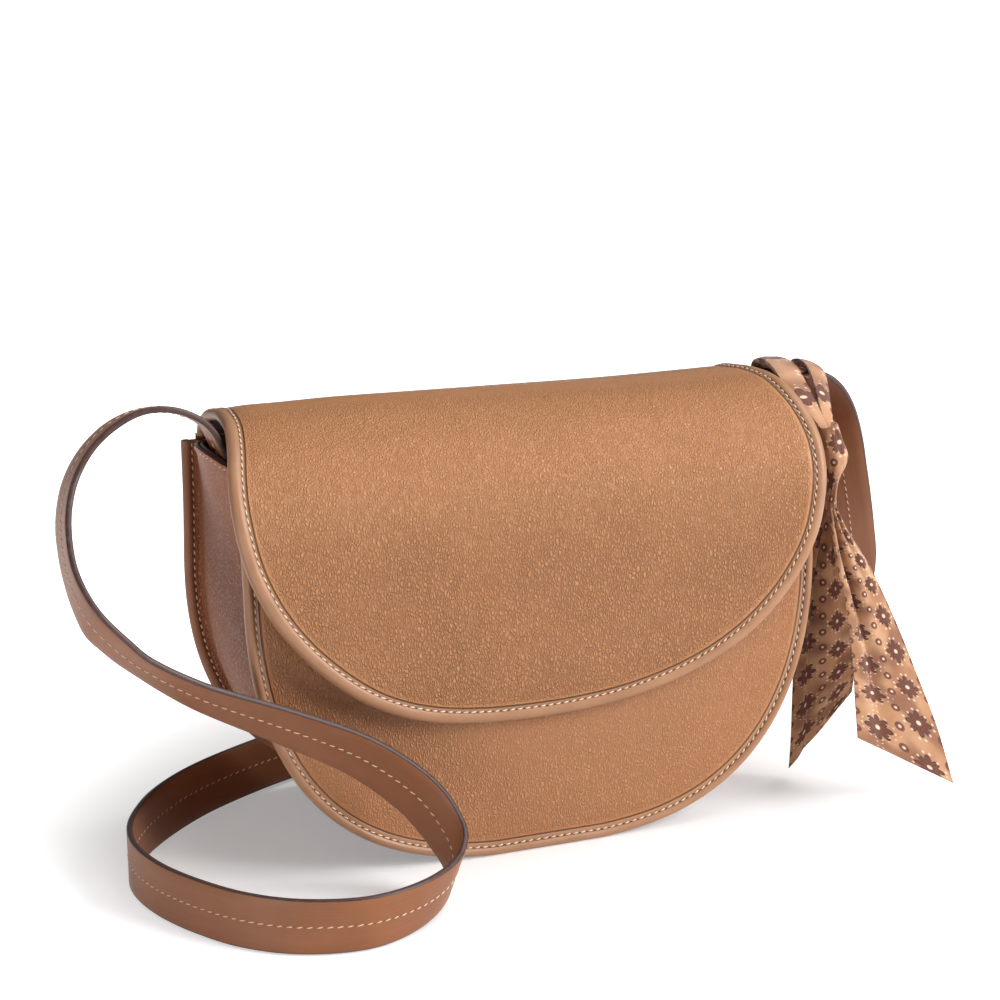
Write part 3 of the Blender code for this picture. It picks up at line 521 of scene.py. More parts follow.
def scaled_place(tree, *turns):
    """Object coordinates with so many turns a metre, one number or one for each axis."""
    place = put(tree, "ShaderNodeTexCoord")
    mapping = put(tree, "ShaderNodeMapping", {"Vector": place.outputs["Object"],
                                              "Scale": turns if len(turns) > 1 else turns * 3})
    return mapping.outputs["Vector"]


def noise_over(tree, detail, *turns):
    """A noise on Object coordinates, with so many turns a metre."""
    noise_node = put(tree, "ShaderNodeTexNoise",
                     {"Vector": scaled_place(tree, *turns), "Scale": 1.0, "Detail": detail})
    return noise_node.outputs["Fac"]


def cover(tree, shader, base, gloss, height, strength, depth):
    """A surface's colour, roughness and relief, joined to its shader."""
    bump = put(tree, "ShaderNodeBump", {"Height": height, "Strength": strength, "Distance": depth})
    tree.links.new(base, shader.inputs["Base Color"])
    tree.links.new(gloss, shader.inputs["Roughness"])
    tree.links.new(bump.outputs["Normal"], shader.inputs["Normal"])


def speckled(name, colour, turns, detail, dark_share, strength, depth, gloss, roughness,
             low=noise_range[0], **kind):
    """A plain finish whose colour, gloss and relief all follow one fine noise."""
    made, tree, shader = start_finish(name, roughness, **kind)
    grain = noise_over(tree, detail, *turns)
    base = tint(tree, fade(tree, grain, low, noise_range[1]), shaded(colour, dark_share), colour)
    cover(tree, shader, base, fade(tree, grain, *noise_range, *gloss), grain, strength, depth)
    return made


def mark(tree, name):
    """A value that the piece carries on its points."""
    return put(tree, "ShaderNodeAttribute", attribute_name=name).outputs["Fac"]


def pebbled_leather(name, colour, groove_inset, strip_colour, relief=pebble_relief,
                    valley_shade_share=0.66, roughness=0.40, specular=0.5):
    """Tumbled leather: small upright pebbles up to a groove, and a smooth strip beyond it."""
    made, tree, shader = start_finish(name, roughness, specular=specular)

    # Pebbles, larger folds between groups of them, and a fine tooth over all.
    place = scaled_place(tree, *(turns / pebble_size for turns in pebble_turns))
    warp = put(tree, "ShaderNodeTexNoise", {"Vector": place, "Scale": 0.45, "Detail": 3.0})
    bent = put(tree, "ShaderNodeVectorMath", {0: warp.outputs["Color"], 1: (1.5, 1.5, 1.5), 2: place},
               operation="MULTIPLY_ADD").outputs[0]
    cells = put(tree, "ShaderNodeTexVoronoi", {"Vector": bent, "Scale": 1.0},
                feature="DISTANCE_TO_EDGE")
    tones = put(tree, "ShaderNodeTexVoronoi", {"Vector": bent, "Scale": 1.0})
    folds = put(tree, "ShaderNodeTexVoronoi", {"Vector": bent, "Scale": 0.36},
                feature="DISTANCE_TO_EDGE")
    tooth = put(tree, "ShaderNodeTexNoise", {"Vector": place, "Scale": 3.2, "Detail": 3.0,
                                             "Roughness": 0.6}).outputs["Fac"]
    streaks = noise_over(tree, 3.0, 160.0, 900.0, 1500.0)
    patches = noise_over(tree, 3.0, 26.0)
    pebble = fade(tree, cells.outputs["Distance"], 0.0, 0.32)
    crease = fade(tree, folds.outputs["Distance"], 0.0, 0.10)
    grained = times(tree, pebble, fade(tree, crease, 0.0, 1.0, 0.72, 1.0))

    # The grain closes at the groove, varies in patches and is pressed flatter high up.
    seam = mark(tree, "seam")
    open_grain = fade(tree, seam, groove_inset + 0.2, groove_inset + 3.0, 0.05, 1.0)
    loose = fade(tree, patches, 0.30, 0.72, 0.72, 1.0)
    split = put(tree, "ShaderNodeSeparateXYZ", {"Vector": scaled_place(tree, 1.0)})
    pressed = fade(tree, split.outputs["Z"], *pressed_heights, 1.0, pressed_share)
    strength = times(tree, times(tree, open_grain, loose), pressed)

    # Over the bend the pebbles are pulled out into streaks.
    pull = fade(tree, mark(tree, "bend"), 0.0, 1.0, 0.0, 0.75)
    stretched = work_out(tree, "MULTIPLY_ADD", streaks, 0.9, 0.1)
    mixed = work_out(tree, "ADD", times(tree, grained, work_out(tree, "SUBTRACT", 1.0, pull)),
                     times(tree, stretched, pull))
    groove = inside(tree, unsigned(tree, work_out(tree, "SUBTRACT", seam, groove_inset)),
                    *groove_edges)
    height = work_out(tree, "MULTIPLY_ADD", tooth, 0.16, times(tree, mixed, strength))
    height = work_out(tree, "MULTIPLY_ADD", groove, -1.5, height)

    # Lively tone on the pebbles, painted shade in the valleys and in the groove, paler smooth strip.
    lively = work_out(tree, "MULTIPLY_ADD", tones.outputs["Color"], 0.35, times(tree, patches, 0.65))
    valley = times(tree, work_out(tree, "SUBTRACT", 1.0, mixed), strength)
    base = tint(tree, fade(tree, lively, 0.25, 0.75), colour, shaded(colour, 1.16, 1.22, 1.30))
    # The valleys between pebbles are darkened: painted shade.
    base = tint(tree, times(tree, valley, valley_shade_share), base, shaded(colour, 0.50, 0.41, 0.34))
    base = tint(tree, inside(tree, seam, groove_inset - 0.4, groove_inset), base, strip_colour)
    # The groove is darkened: painted shade.
    base = tint(tree, times(tree, groove, 0.85), base, shaded(colour, 0.22))
    gloss = fade(tree, work_out(tree, "MULTIPLY_ADD", tooth, 0.5, times(tree, valley, 0.5)),
                 0.1, 0.9, roughness - 0.07, roughness + 0.14)
    cover(tree, shader, base, gloss, height, 0.8, relief)
    return made


def smooth_leather(name, colour, roughness=0.42, crest_paling=0.0, specular=0.45):
    """Close-grained leather with hair pores, soft streaks and a paler tone towards its crests."""
    made, tree, shader = start_finish(name, roughness, specular=specular)
    pores = noise_over(tree, 3.0, 1500.0)
    clouds = noise_over(tree, 4.0, 55.0)
    wrinkles = put(tree, "ShaderNodeTexVoronoi",
                   {"Vector": scaled_place(tree, 900.0, 900.0, 700.0), "Scale": 1.0},
                   feature="DISTANCE_TO_EDGE")
    height = work_out(tree, "MULTIPLY_ADD", fade(tree, wrinkles.outputs["Distance"], 0.0, 0.2), 0.35,
                      pores)
    base = tint(tree, fade(tree, clouds, *noise_range), shaded(colour, 0.84, 0.79, 0.75), colour)
    base = tint(tree, fade(tree, mark(tree, "crest"), 0.35, 1.0, 0.0, crest_paling), base,
                shaded(colour, 1.14, 1.22, 1.32))
    gloss = fade(tree, work_out(tree, "MULTIPLY_ADD", pores, 0.5, times(tree, clouds, 0.5)),
                 0.25, 0.75, roughness - 0.05, roughness + 0.10)
    cover(tree, shader, base, gloss, height, 0.35, 0.08 * MM)
    return made


def strap_leather(name, colour, roughness=0.44):
    """Smooth belt leather: fine streaks along its length, read from the strap's own UV map."""
    made, tree, shader = start_finish(name, roughness, specular=0.4)
    along = put(tree, "ShaderNodeUVMap", uv_map="leather_run")
    lengthwise = put(tree, "ShaderNodeMapping", {"Vector": along.outputs["UV"],
                                                 "Scale": (45.0, 1300.0, 1.0)})
    streaks = put(tree, "ShaderNodeTexNoise", {"Vector": lengthwise.outputs["Vector"], "Scale": 1.0,
                                               "Detail": 3.0}).outputs["Fac"]
    pores = noise_over(tree, 2.0, 1700.0)
    clouds = noise_over(tree, 3.0, 38.0)
    height = work_out(tree, "MULTIPLY_ADD", streaks, 0.6, pores)
    base = tint(tree, fade(tree, clouds, *noise_range), shaded(colour, 0.86, 0.82, 0.79), colour)
    base = tint(tree, fade(tree, streaks, 0.45, 0.8, 0.0, 0.6), base,
                shaded(colour, 1.08, 1.11, 1.15))
    split = put(tree, "ShaderNodeSeparateXYZ", {"Vector": along.outputs["UV"]})
    rim = fade(tree, unsigned(tree, split.outputs["Y"]),
               *(strap_width * share for share in strap_rim_shares))
    base = tint(tree, times(tree, rim, 0.5), base, shaded(colour, 0.5))
    gloss = fade(tree, pores, *noise_range, roughness - 0.04, roughness + 0.09)
    cover(tree, shader, base, gloss, height, 0.3, 0.06 * MM)
    return made


def edge_paint(name, colour):
    """Painted leather edge: several brushed coats, slightly uneven."""
    return speckled(name, colour, turns=(420.0,), detail=4.0, dark_share=0.72, strength=0.4,
                    depth=0.12 * MM, gloss=(0.32, 0.46), roughness=0.38, specular=0.32)


def waxed_thread(name, colour):
    """Linen thread: a fine twist with darker hollows."""
    return speckled(name, colour, turns=(2600.0,), detail=2.0, dark_share=0.72, strength=0.6,
                    depth=0.1 * MM, gloss=(0.5, 0.72), roughness=0.6, sheen=0.2, specular=0.3)


def woven_lining(name, colour):
    """Brown twill: crossing yarns with slubs."""
    made, tree, shader = start_finish(name, 0.8, sheen=0.35, specular=0.25)
    yarn_turns = math.tau / lining_yarn
    split = put(tree, "ShaderNodeSeparateXYZ", {"Vector": scaled_place(tree, 1.0)})
    across = work_out(tree, "ADD", split.outputs["X"], split.outputs["Y"])
    warp = work_out(tree, "SINE", times(tree, across, yarn_turns))
    weft = work_out(tree, "SINE", times(tree, split.outputs["Z"], yarn_turns))
    weave = work_out(tree, "MULTIPLY_ADD", warp, weft, 1.0)
    slubs = noise_over(tree, 3.0, 140.0, 140.0, 900.0)
    base = tint(tree, fade(tree, weave, 0.2, 1.8), shaded(colour, 0.6), colour)
    base = tint(tree, fade(tree, slubs, 0.4, 0.8, 0.0, 0.35), base, shaded(colour, 1.6))
    cover(tree, shader, base, fade(tree, slubs, *noise_range, 0.72, 0.9), weave, 0.5, 0.12 * MM)
    return made


def pressed_board(name, colour):
    """Stiffener board: felted fibres."""
    return speckled(name, colour, turns=(900.0, 900.0, 240.0), detail=4.0, dark_share=0.7,
                    strength=0.5, depth=0.2 * MM, gloss=(0.78, 0.92), roughness=0.85, specular=0.2)


def brushed_brass(name, colour):
    """Snap metal: turned lines and small scuffs."""
    return speckled(name, colour, turns=(700.0,), detail=4.0, dark_share=0.75, strength=0.25,
                    depth=0.05 * MM, gloss=(0.2, 0.4), roughness=0.28, low=0.35, metallic=1.0)


def printed_scarf(name):
    """Foulard print on twill: eight-petalled flowers in a half-drop, with buds and pin dots."""
    made, tree, shader = start_finish(name, 0.68, sheen=0.3, specular=0.25)

    # Each repeat from its middle, every other column dropped by half a repeat.
    cloth = put(tree, "ShaderNodeUVMap", uv_map="cloth")
    place = put(tree, "ShaderNodeMapping", {"Vector": cloth.outputs["UV"],
                                            "Scale": (1 / print_repeat, 1 / print_repeat, 1.0)})
    split = put(tree, "ShaderNodeSeparateXYZ", {"Vector": place.outputs["Vector"]})
    odd = work_out(tree, "FLOORED_MODULO", work_out(tree, "FLOOR", split.outputs["X"]), 2.0)
    across = work_out(tree, "SUBTRACT", work_out(tree, "FRACT", split.outputs["X"]), 0.5)
    dropped = work_out(tree, "MULTIPLY_ADD", odd, 0.5, split.outputs["Y"])
    along = work_out(tree, "SUBTRACT", work_out(tree, "FRACT", dropped), 0.5)

    # Flower: petals, their darker outline and veins, and a pale middle.
    radius = distance(tree, across, along)
    turned = times(tree, work_out(tree, "ARCTAN2", along, across), 4.0)
    petal = unsigned(tree, work_out(tree, "COSINE", turned))
    edge = work_out(tree, "SUBTRACT", radius, work_out(tree, "MULTIPLY_ADD", petal, 0.125, 0.20))
    flower = inside(tree, edge, -0.012, 0.012)
    outline = inside(tree, unsigned(tree, work_out(tree, "ADD", edge, 0.02)), 0.010, 0.026)
    middle = inside(tree, radius, 0.045, 0.07)
    veins = times(tree, inside(tree, unsigned(tree, work_out(tree, "SINE", turned)), 0.12, 0.34),
                  inside(tree, radius, 0.22, 0.25))

    # Buds with pips between the flowers, and a lattice of pin dots.
    from_bud = distance(tree, work_out(tree, "SUBTRACT", 0.5, unsigned(tree, across)),
                        work_out(tree, "SUBTRACT", unsigned(tree, along), 0.25))
    bud = inside(tree, from_bud, 0.10, 0.122)
    pip = inside(tree, from_bud, 0.030, 0.046)
    pins = put(tree, "ShaderNodeTexVoronoi",
               {"Vector": place.outputs["Vector"], "Scale": 7.0, "Randomness": 0.0})
    diamond = work_out(tree, "ADD", unsigned(tree, across), unsigned(tree, along))
    lattice = unsigned(tree, work_out(tree, "SUBTRACT", diamond, 0.43))
    dots = times(tree, inside(tree, pins.outputs["Distance"], 0.17, 0.27),
                 inside(tree, lattice, 0.05, 0.08))

    # Ground darkened in large random patches, then the figures in three inks.
    dark_patches = put(tree, "ShaderNodeTexNoise",
                 {"Vector": place.outputs["Vector"], "Scale": 1.1, "Detail": 1.0})
    sand, peach, tobacco = (0.44, 0.21, 0.105), (0.56, 0.31, 0.17), (0.19, 0.068, 0.034)
    rust, plum, cream = (0.12, 0.032, 0.018), (0.045, 0.014, 0.014), (0.82, 0.62, 0.46)
    painted = tint(tree, fade(tree, noise_over(tree, 3.0, 60.0), *noise_range), sand, peach)
    painted = tint(tree, fade(tree, dark_patches.outputs["Fac"], 0.40, 0.66, 0.0, 0.78), painted, tobacco)
    for figure, share, ink in ((flower, 0.93, rust), (outline, 0.75, plum), (veins, 0.55, plum),
                               (middle, 0.9, cream), (bud, 0.9, rust), (pip, 0.85, cream),
                               (dots, 0.75, cream)):
        painted = tint(tree, times(tree, figure, share), painted, ink)
    twill = put(tree, "ShaderNodeTexWave",
                {"Vector": cloth.outputs["UV"], "Scale": 420.0, "Distortion": 0.6, "Detail": 1.0},
                bands_direction="DIAGONAL").outputs["Fac"]
    cover(tree, shader, painted, fade(tree, twill, 0.0, 1.0, 0.60, 0.78), twill, 0.4, 0.1 * MM)
    return made


rolled_colour = (0.395, 0.198, 0.103)
flap_hide = pebbled_leather("flap_pebbled_leather", (0.425, 0.180, 0.066), flap_groove_inset,
                            rolled_colour)
body_hide = pebbled_leather("body_pebbled_leather", (0.395, 0.164, 0.062), body_groove_inset,
                            rolled_colour, relief=body_pebble_relief, valley_shade_share=0.42)
gusset_hide = pebbled_leather("gusset_pebbled_leather", (0.39, 0.155, 0.085), no_groove_inset,
                              rolled_colour, relief=gusset_pebble_relief, specular=0.08)
facing_hide = smooth_leather("facing_leather", (0.36, 0.165, 0.085))
roll_hide = smooth_leather("rolled_edge_leather", rolled_colour, 0.40, 0.6)
# The back panel's rolled edge is a darker copy of the rolled edge leather: painted shade.
shaded_back_roll_hide = smooth_leather("back_rolled_edge_painted_shade_leather", (0.31, 0.14, 0.08), 0.42, 0.4, 0.2)
belt_hide = strap_leather("strap_leather", (0.285, 0.104, 0.041))
dark_edge = edge_paint("painted_edge", (0.085, 0.046, 0.040))
cream_thread = waxed_thread("cream_thread", (0.95, 0.73, 0.52))
strap_thread = waxed_thread("strap_thread", (0.90, 0.66, 0.48))
# Needle holes are dark beads laid on the surface: painted shade in the holes.
needle_hole_shade = edge_paint("needle_hole_shade", (0.07, 0.03, 0.018))
brown_cloth = woven_lining("brown_lining_cloth", (0.075, 0.042, 0.028))
fibre_board = pressed_board("stiffener_board", (0.50, 0.42, 0.30))
snap_brass = brushed_brass("snap_brass", (0.80, 0.62, 0.36))
scarf_print = printed_scarf("printed_scarf_cloth")


# ---------------------------------------------------------------- mesh work


def ramp(value, start, width):
    """How far a value has come from its start over a width, from 0 to 1."""
    return min(max((value - start) / width, 0.0), 1.0)


def ease(share):
    """A share with a soft start and a soft end."""
    return share * share * (3 - 2 * share)


def plain_marks(rows, bend=0.0):
    """Leather marks for rows that lie far from any seam."""
    return {"seam": [[far_from_seam] * len(row) for row in rows],
            "bend": [[bend] * len(row) for row in rows]}


def link_object(name, data):
    """A new object in the scene, at the origin."""
    made = bpy.data.objects.new(name, data)
    bpy.context.scene.collection.objects.link(made)
    return made


def run_lengths(points):
    """The length of a run of points up to each of them."""
    lengths = [0.0]
    for before, after in zip(points, points[1:]):
        lengths.append(lengths[-1] + math.dist(before, after))
    return lengths


def stretch_at(lengths, target, index=0):
    """The stretch of a run that holds a length, and how far along the stretch it lies."""
    while index < len(lengths) - 2 and lengths[index + 1] < target:
        index += 1
    return index, (target - lengths[index]) / (lengths[index + 1] - lengths[index])


def add_piece(name, bm, *finishes):
    """A mesh as a named piece, moved from the middle plane into the object's frame."""
    bmesh.ops.recalc_face_normals(bm, faces=bm.faces)
    bmesh.ops.translate(bm, verts=bm.verts, vec=(0.0, centre_shift, 0.0))
    mesh = bpy.data.meshes.new(name)
    bm.to_mesh(mesh)
    bm.free()
    for finish in finishes:
        mesh.materials.append(finish)
    mesh.shade_smooth()
    return link_object(name, mesh)


def settle(piece):
    """The piece as a plain mesh, with its modifiers worked in."""
    graph = bpy.context.evaluated_depsgraph_get()
    mesh = bpy.data.meshes.new_from_object(piece.evaluated_get(graph))
    piece.modifiers.clear()
    old = piece.data
    piece.data = mesh
    bpy.data.meshes.remove(old)
    return piece


def thick_sheet(name, rows, thickness, finish, marks=None, cloth_size=None, rim=None):
    """A skin through rows of points with its thickness half to each side, closed at its rim."""
    bm = bmesh.new()
    layers = {key: bm.verts.layers.float.new(key) for key in (marks or {})}
    uv = bm.loops.layers.uv.new("cloth") if cloth_size else None
    grid = []
    for r, row in enumerate(rows):
        made_row = []
        for c, point in enumerate(row):
            vert = bm.verts.new(point)
            for key, layer in layers.items():
                vert[layer] = marks[key][r][c]
            made_row.append(vert)
        grid.append(made_row)
    last_row, last_column = len(grid) - 1, len(grid[0]) - 1
    for r in range(last_row):
        for c in range(last_column):
            face = bm.faces.new((grid[r][c], grid[r][c + 1], grid[r + 1][c + 1], grid[r + 1][c]))
            if uv:
                corners = ((r, c), (r, c + 1), (r + 1, c + 1), (r + 1, c))
                for loop, (row_at, column_at) in zip(face.loops, corners):
                    loop[uv].uv = (cloth_size[0] * (column_at / last_column - 0.5),
                                   cloth_size[1] * row_at / last_row)
    made = add_piece(name, bm, finish, *([rim] if rim else []))
    wall = made.modifiers.new("wall", "SOLIDIFY")
    wall.thickness = thickness
    wall.offset = 0.0
    if rim:
        wall.material_offset_rim = 1
    settle(made)
    made.data.shade_smooth()
    made.data.set_sharp_from_angle(angle=sheet_sharp_angle)
    return made


def swept(name, rings, finishes, slots=None, marks=None, run_uv=None, uv_name="leather_run"):
    """A solid through closed rings of points, capped at both ends."""
    bm = bmesh.new()
    layer = bm.verts.layers.float.new("crest") if marks else None
    uv = bm.loops.layers.uv.new(uv_name) if run_uv else None
    loops = []
    for ring in rings:
        made_ring = [bm.verts.new(point) for point in ring]
        if layer:
            for vert, value in zip(made_ring, marks):
                vert[layer] = value
        loops.append(made_ring)
    count = len(loops[0])
    for index, (near, far) in enumerate(zip(loops, loops[1:])):
        for corner in range(count):
            after = (corner + 1) % count
            face = bm.faces.new((near[corner], near[after], far[after], far[corner]))
            face.material_index = slots[corner] if slots else 0
            if uv:
                lengths, widths = run_uv
                spots = ((index, corner), (index, corner + 1),
                         (index + 1, corner + 1), (index + 1, corner))
                for loop, (ring_at, corner_at) in zip(face.loops, spots):
                    loop[uv].uv = (lengths[ring_at], widths[corner_at % len(widths)])
    for ring in (loops[0], loops[-1]):
        cap = bm.faces.new(ring)
        cap.material_index = len(finishes) - 1
        bmesh.ops.triangulate(bm, faces=[cap])
    made = add_piece(name, bm, *finishes)
    made.data.set_sharp_from_angle(angle=roll_sharp_angle)
    return made


def place_piece(piece, body, slot, *nodes):
    """The piece rides on its body and stands for its plain solids, which are hidden; its slot is not
    used.
    """
    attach(piece, body)
    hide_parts(*nodes)
    return piece


def even_run(points, steps):
    """The same flat curve with evenly spaced points."""
    lengths = run_lengths(points)
    run, index = [], 0
    for step in range(steps + 1):
        index, share = stretch_at(lengths, lengths[-1] * step / steps, index)
        start, end = points[index], points[index + 1]
        run.append(tuple(a + (b - a) * share for a, b in zip(start, end)))
    return run


def inset_run(points, inset):
    """The flat curve moved to its inner side, with each point's outward direction."""
    moved = []
    for index, (across, along) in enumerate(points):
        before = points[max(index - 1, 0)]
        after = points[min(index + 1, len(points) - 1)]
        run_x, run_s = after[0] - before[0], after[1] - before[1]
        length = math.hypot(run_x, run_s)
        out_x, out_s = run_s / length, -run_x / length
        moved.append((across - out_x * inset, along - out_s * inset, out_x, out_s))
    return moved


def smooth_curve(points, samples):
    """A smooth curve through the points, as many samples to each stretch."""
    curve = []
    for index in range(len(points) - 1):
        before = points[max(index - 1, 0)]
        start, end = points[index], points[index + 1]
        after = points[min(index + 2, len(points) - 1)]
        for sample in range(samples):
            t = sample / samples
            curve.append(tuple(
                0.5 * (2 * b + (c - a) * t + (2 * a - 5 * b + 4 * c - d) * t ** 2
                       + (3 * b - a - 3 * c + d) * t ** 3)
                for a, b, c, d in zip(before, start, end, after)))
    curve.append(tuple(points[-1]))
    return curve


def distance_to_line(rows, line):
    """For rows of flat points, each one's distance to a line of flat points, in millimetres."""
    starts = numpy.array([point[:2] for point in line[:-1]])
    ends = numpy.array([point[:2] for point in line[1:]])
    stretch = ends - starts
    size = (stretch ** 2).sum(axis=1)
    found = []
    for row in rows:
        points = numpy.array(row)[:, None, :]
        share = (((points - starts) * stretch).sum(axis=2) / size).clip(0.0, 1.0)
        nearest = starts + stretch * share[..., None]
        gap = numpy.sqrt(((points - nearest) ** 2).sum(axis=2)).min(axis=1)
        found.append((gap / MM).tolist())
    return found


# ---------------------------------------------------------------- body shapes


def outline_half_width(height):
    """Half width of the body's outline at a height."""
    if height + sole_sink < widest_height:
        drop_share = (widest_height - height - sole_sink) / widest_height
        return body_half_width * (1 - drop_share ** outline_height_power) ** (1 / outline_width_power)
    rise_share = (height + sole_sink - widest_height) / (mouth_height - widest_height)
    return body_half_width + mouth_flare * rise_share ** 2


def seam_line(top, inset):
    """The seam from the left mouth round the sole to the right mouth: x, z and outward direction."""
    samples = []
    for index in range(outline_samples + 1):
        height = top * (index / outline_samples) ** 2
        samples.append((outline_half_width(height), height))
    side = even_run(samples, side_steps)
    sole_end = side[0][0]
    sole = [(sole_end * (2 * step / sole_steps - 1), 0.0) for step in range(1, sole_steps)]
    left = [(-across, height) for across, height in reversed(side)]
    return inset_run(left + sole + side, inset)


def side_rows(top, inset):
    """The seam's right half as half widths and heights, from the sole up."""
    return [(across, height) for across, height, _, _ in seam_line(top, inset)[-side_steps - 1:]]


def crown(across, height, top):
    """How far a panel swells outwards."""
    width_term = (abs(across) / (body_half_width - crown_rim)) ** outline_width_power
    drop_share = max(widest_height - height, 0.0) / (widest_height - crown_rim)
    fullness = max(0.0, 1 - width_term - drop_share ** outline_height_power)
    rise_share = max(height - widest_height, 0.0) / (top - widest_height)
    return panel_crown * fullness * (1 - rise_share ** 2)


def wall_point(side, across, height, depth, top=None):
    """A point below a panel's outer face: side is -1 at the front and 1 at the back."""
    reach = base_half_depth - side_lean_share * height - depth
    if top:
        reach += crown(across, height, top)
    return Vector((across, side * reach, height))


def panel_rows(side, top, inset, depth, columns, low=None, crown_top=None):
    """Rows of points over a panel-shaped layer, from the sole or a low edge up to its top."""
    crown_top = crown_top or top
    if low is None:
        ends = side_rows(top, inset)
    else:
        ends = []
        for step in range(facing_steps + 1):
            height = low + (top - low) * step / facing_steps
            ends.append((outline_half_width(height) - inset, height))
    rows = []
    for reach, height in ends:
        row = []
        for column in range(columns + 1):
            across = reach * (2 * column / columns - 1)
            row.append(wall_point(side, across, height, depth, crown_top))
        rows.append(row)
    return rows


def mouth_share(share):
    """How soon the wall's rows rise from the front seam's heights to the back seam's."""
    return ease(ramp(share, 0.0, mouth_rise_share))


def mouth_lift(share, height):
    """How much the gusset's mouth stands up between its seams, near its top."""
    near_top = ramp(height, mouth_height - mouth_crown_reach, mouth_crown_reach)
    return mouth_crown * math.sin(math.pi * share) ** mouth_crown_power * near_top ** 2


def mouth_at(share):
    """The mouth's height between the front seam, share 0, and the back seam, share 1."""
    return front_mouth_height + (mouth_height - front_mouth_height) * mouth_share(share)


def bulge_at(height):
    """How far the gusset's wall swells out at a height."""
    rise = max(height - mouth_bulge_start, 0.0) / (mouth_height - mouth_bulge_start)
    return wall_bulge + (mouth_bulge - wall_bulge) * rise ** 2


def wall_section(offset, columns):
    """Across the gusset's wall from front to back: depth share, offset and share of the bulge."""
    return [(column / columns, offset, math.sin(math.pi * column / columns) ** wall_bulge_power)
            for column in range(columns + 1)]


def between_seams(front, back, share):
    """How a row of the wall stands between its seams: x, z and outward direction."""
    ends = list(zip(front, back))
    shares = (share, mouth_share(share), share, share)
    return [start + (end - start) * part for (start, end), part in zip(ends, shares)]


def across_wall(x, z, depth, share):
    """A point on the line from inside the front panel to inside the back panel."""
    start, end = wall_point(-1, x, z, depth), wall_point(1, x, z, depth)
    return start + (end - start) * share


def dress_panel(word, side, top):
    """The outer panel: crowned leather, slightly uneven, sunk where the seam draws it in."""
    rows = panel_rows(side, top, seam_inset, panel_thickness / 2, panel_columns)
    seam = distance_to_line([[(point.x, point.z) for point in row] for row in rows],
                            seam_line(top, 0.0))
    for row, gaps in zip(rows, seam):
        for index, (point, gap) in enumerate(zip(row, gaps)):
            swell = noise.noise(Vector((point.x, side * 3.0, point.z)) / swell_size) * panel_swell
            swell *= ramp(gap, *body_loose)
            sunk = body_draw_depth * (1 - ramp(gap, *body_drawn_in))
            row[index] = point + Vector((0.0, side * (swell - sunk), 0.0))
    made = thick_sheet(word + "_panel_leather", rows, panel_thickness, body_hide,
                       plain_marks(rows) | {"seam": seam}, rim=dark_edge)
    return place_piece(made, "root", "tan_leather", word + "_panel")


def roll_section(slot_half, lip):
    """The bound edge's rolled outer face and the slot for the raw edges, outwards and across."""
    tuck = math.asin(slot_half / roll_half)
    half = (roll_nose + lip) / (1 + math.cos(tuck))
    middle = roll_nose - half
    section, crest = [], []
    for sample in range(roll_samples + 1):
        angle = (math.pi - tuck) * (1 - 2 * sample / roll_samples)
        section.append((middle + half * math.cos(angle), roll_half * math.sin(angle)))
        crest.append(max(0.0, math.cos(angle)) * 0.5 + abs(math.sin(angle)) * 0.5)
    for p, q in ((clearance, -slot_half), (clearance, slot_half)):
        section.append((p, q))
        crest.append(0.0)
    return section, crest


def dress_body_binding(word, side, top):
    """The bound seam of one panel, swept from mouth to mouth."""
    core = panel_thickness + clearance + gusset_thickness
    section, crest = roll_section(core / 2 + clearance, body_roll_lip)
    outside = Vector((0.0, side, 0.0))
    rings = []
    for index, (x, z, out_x, out_z) in enumerate(seam_line(top, seam_inset)):
        centre = wall_point(side, x, z, core / 2)
        outward = Vector((out_x, -side * side_lean_share * out_z, out_z)).normalized()
        plump = 1 + roll_unevenness * noise.noise(Vector((index * 0.13, side, 0.0)))
        rings.append([centre + outward * p * (plump if p > 0.0 else 1.0) + outside * q
                      for p, q in section])
    # The back's rolled edge takes the darker copy of the leather, which is painted shade.
    made = swept(word + "_rolled_edge", rings, [shaded_back_roll_hide if side > 0 else roll_hide],
                 marks=crest)
    return place_piece(made, "root", "edge_leather", word + "_edge_binding")


def gusset_rows():
    """Rows over the gusset: front flange, creased wall, back flange."""
    front = seam_line(front_mouth_height, 0.0)
    back = seam_line(mouth_height, 0.0)
    depth = panel_thickness + clearance + gusset_thickness / 2
    edge = seam_inset + clearance / 2
    bends = ((edge, 0.0), (flange_bend_inset, 0.0),
             ((flange_bend_inset + wall_inset) / 2 + clearance, clearance))
    rows = []
    for (fx, fz, fox, foz), (bx, bz, box, boz) in zip(front, back):
        row = [wall_point(-1, fx - fox * inset, fz - foz * inset, depth + extra)
               for inset, extra in bends]
        for share, _, fullness in wall_section(0.0, wall_columns):
            x, z, ox, oz = between_seams((fx, fz, fox, foz), (bx, bz, box, boz), share)
            z += mouth_lift(share, bz)
            crease = wall_crease_depth * sum(
                math.exp(-((share - at) / wall_crease_width) ** 2)
                for at in (wall_crease_share, 1 - wall_crease_share))
            slack = noise.noise(Vector((x, share * 0.1, z)) / wall_slack_size) * wall_slack * fullness
            inset = wall_inset - bulge_at(z) * fullness + crease * min(fullness * 3, 1.0) + slack
            row.append(across_wall(x - ox * inset, z - oz * inset, depth + flange_bend_depth, share))
        row += [wall_point(1, bx - box * inset, bz - boz * inset, depth + extra)
                for inset, extra in reversed(bends)]
        rows.append([Vector(point) for point in smooth_curve([tuple(point) for point in row],
                                                             wall_steps)])
    return rows


def dress_gusset():
    """The side strip, one sheet from mouth to mouth round the sole."""
    rows = gusset_rows()
    made = thick_sheet("gusset_leather", rows, gusset_thickness, gusset_hide, plain_marks(rows),
                       rim=dark_edge)
    place_piece(made, "root", "tan_leather", "gusset")
    return rows


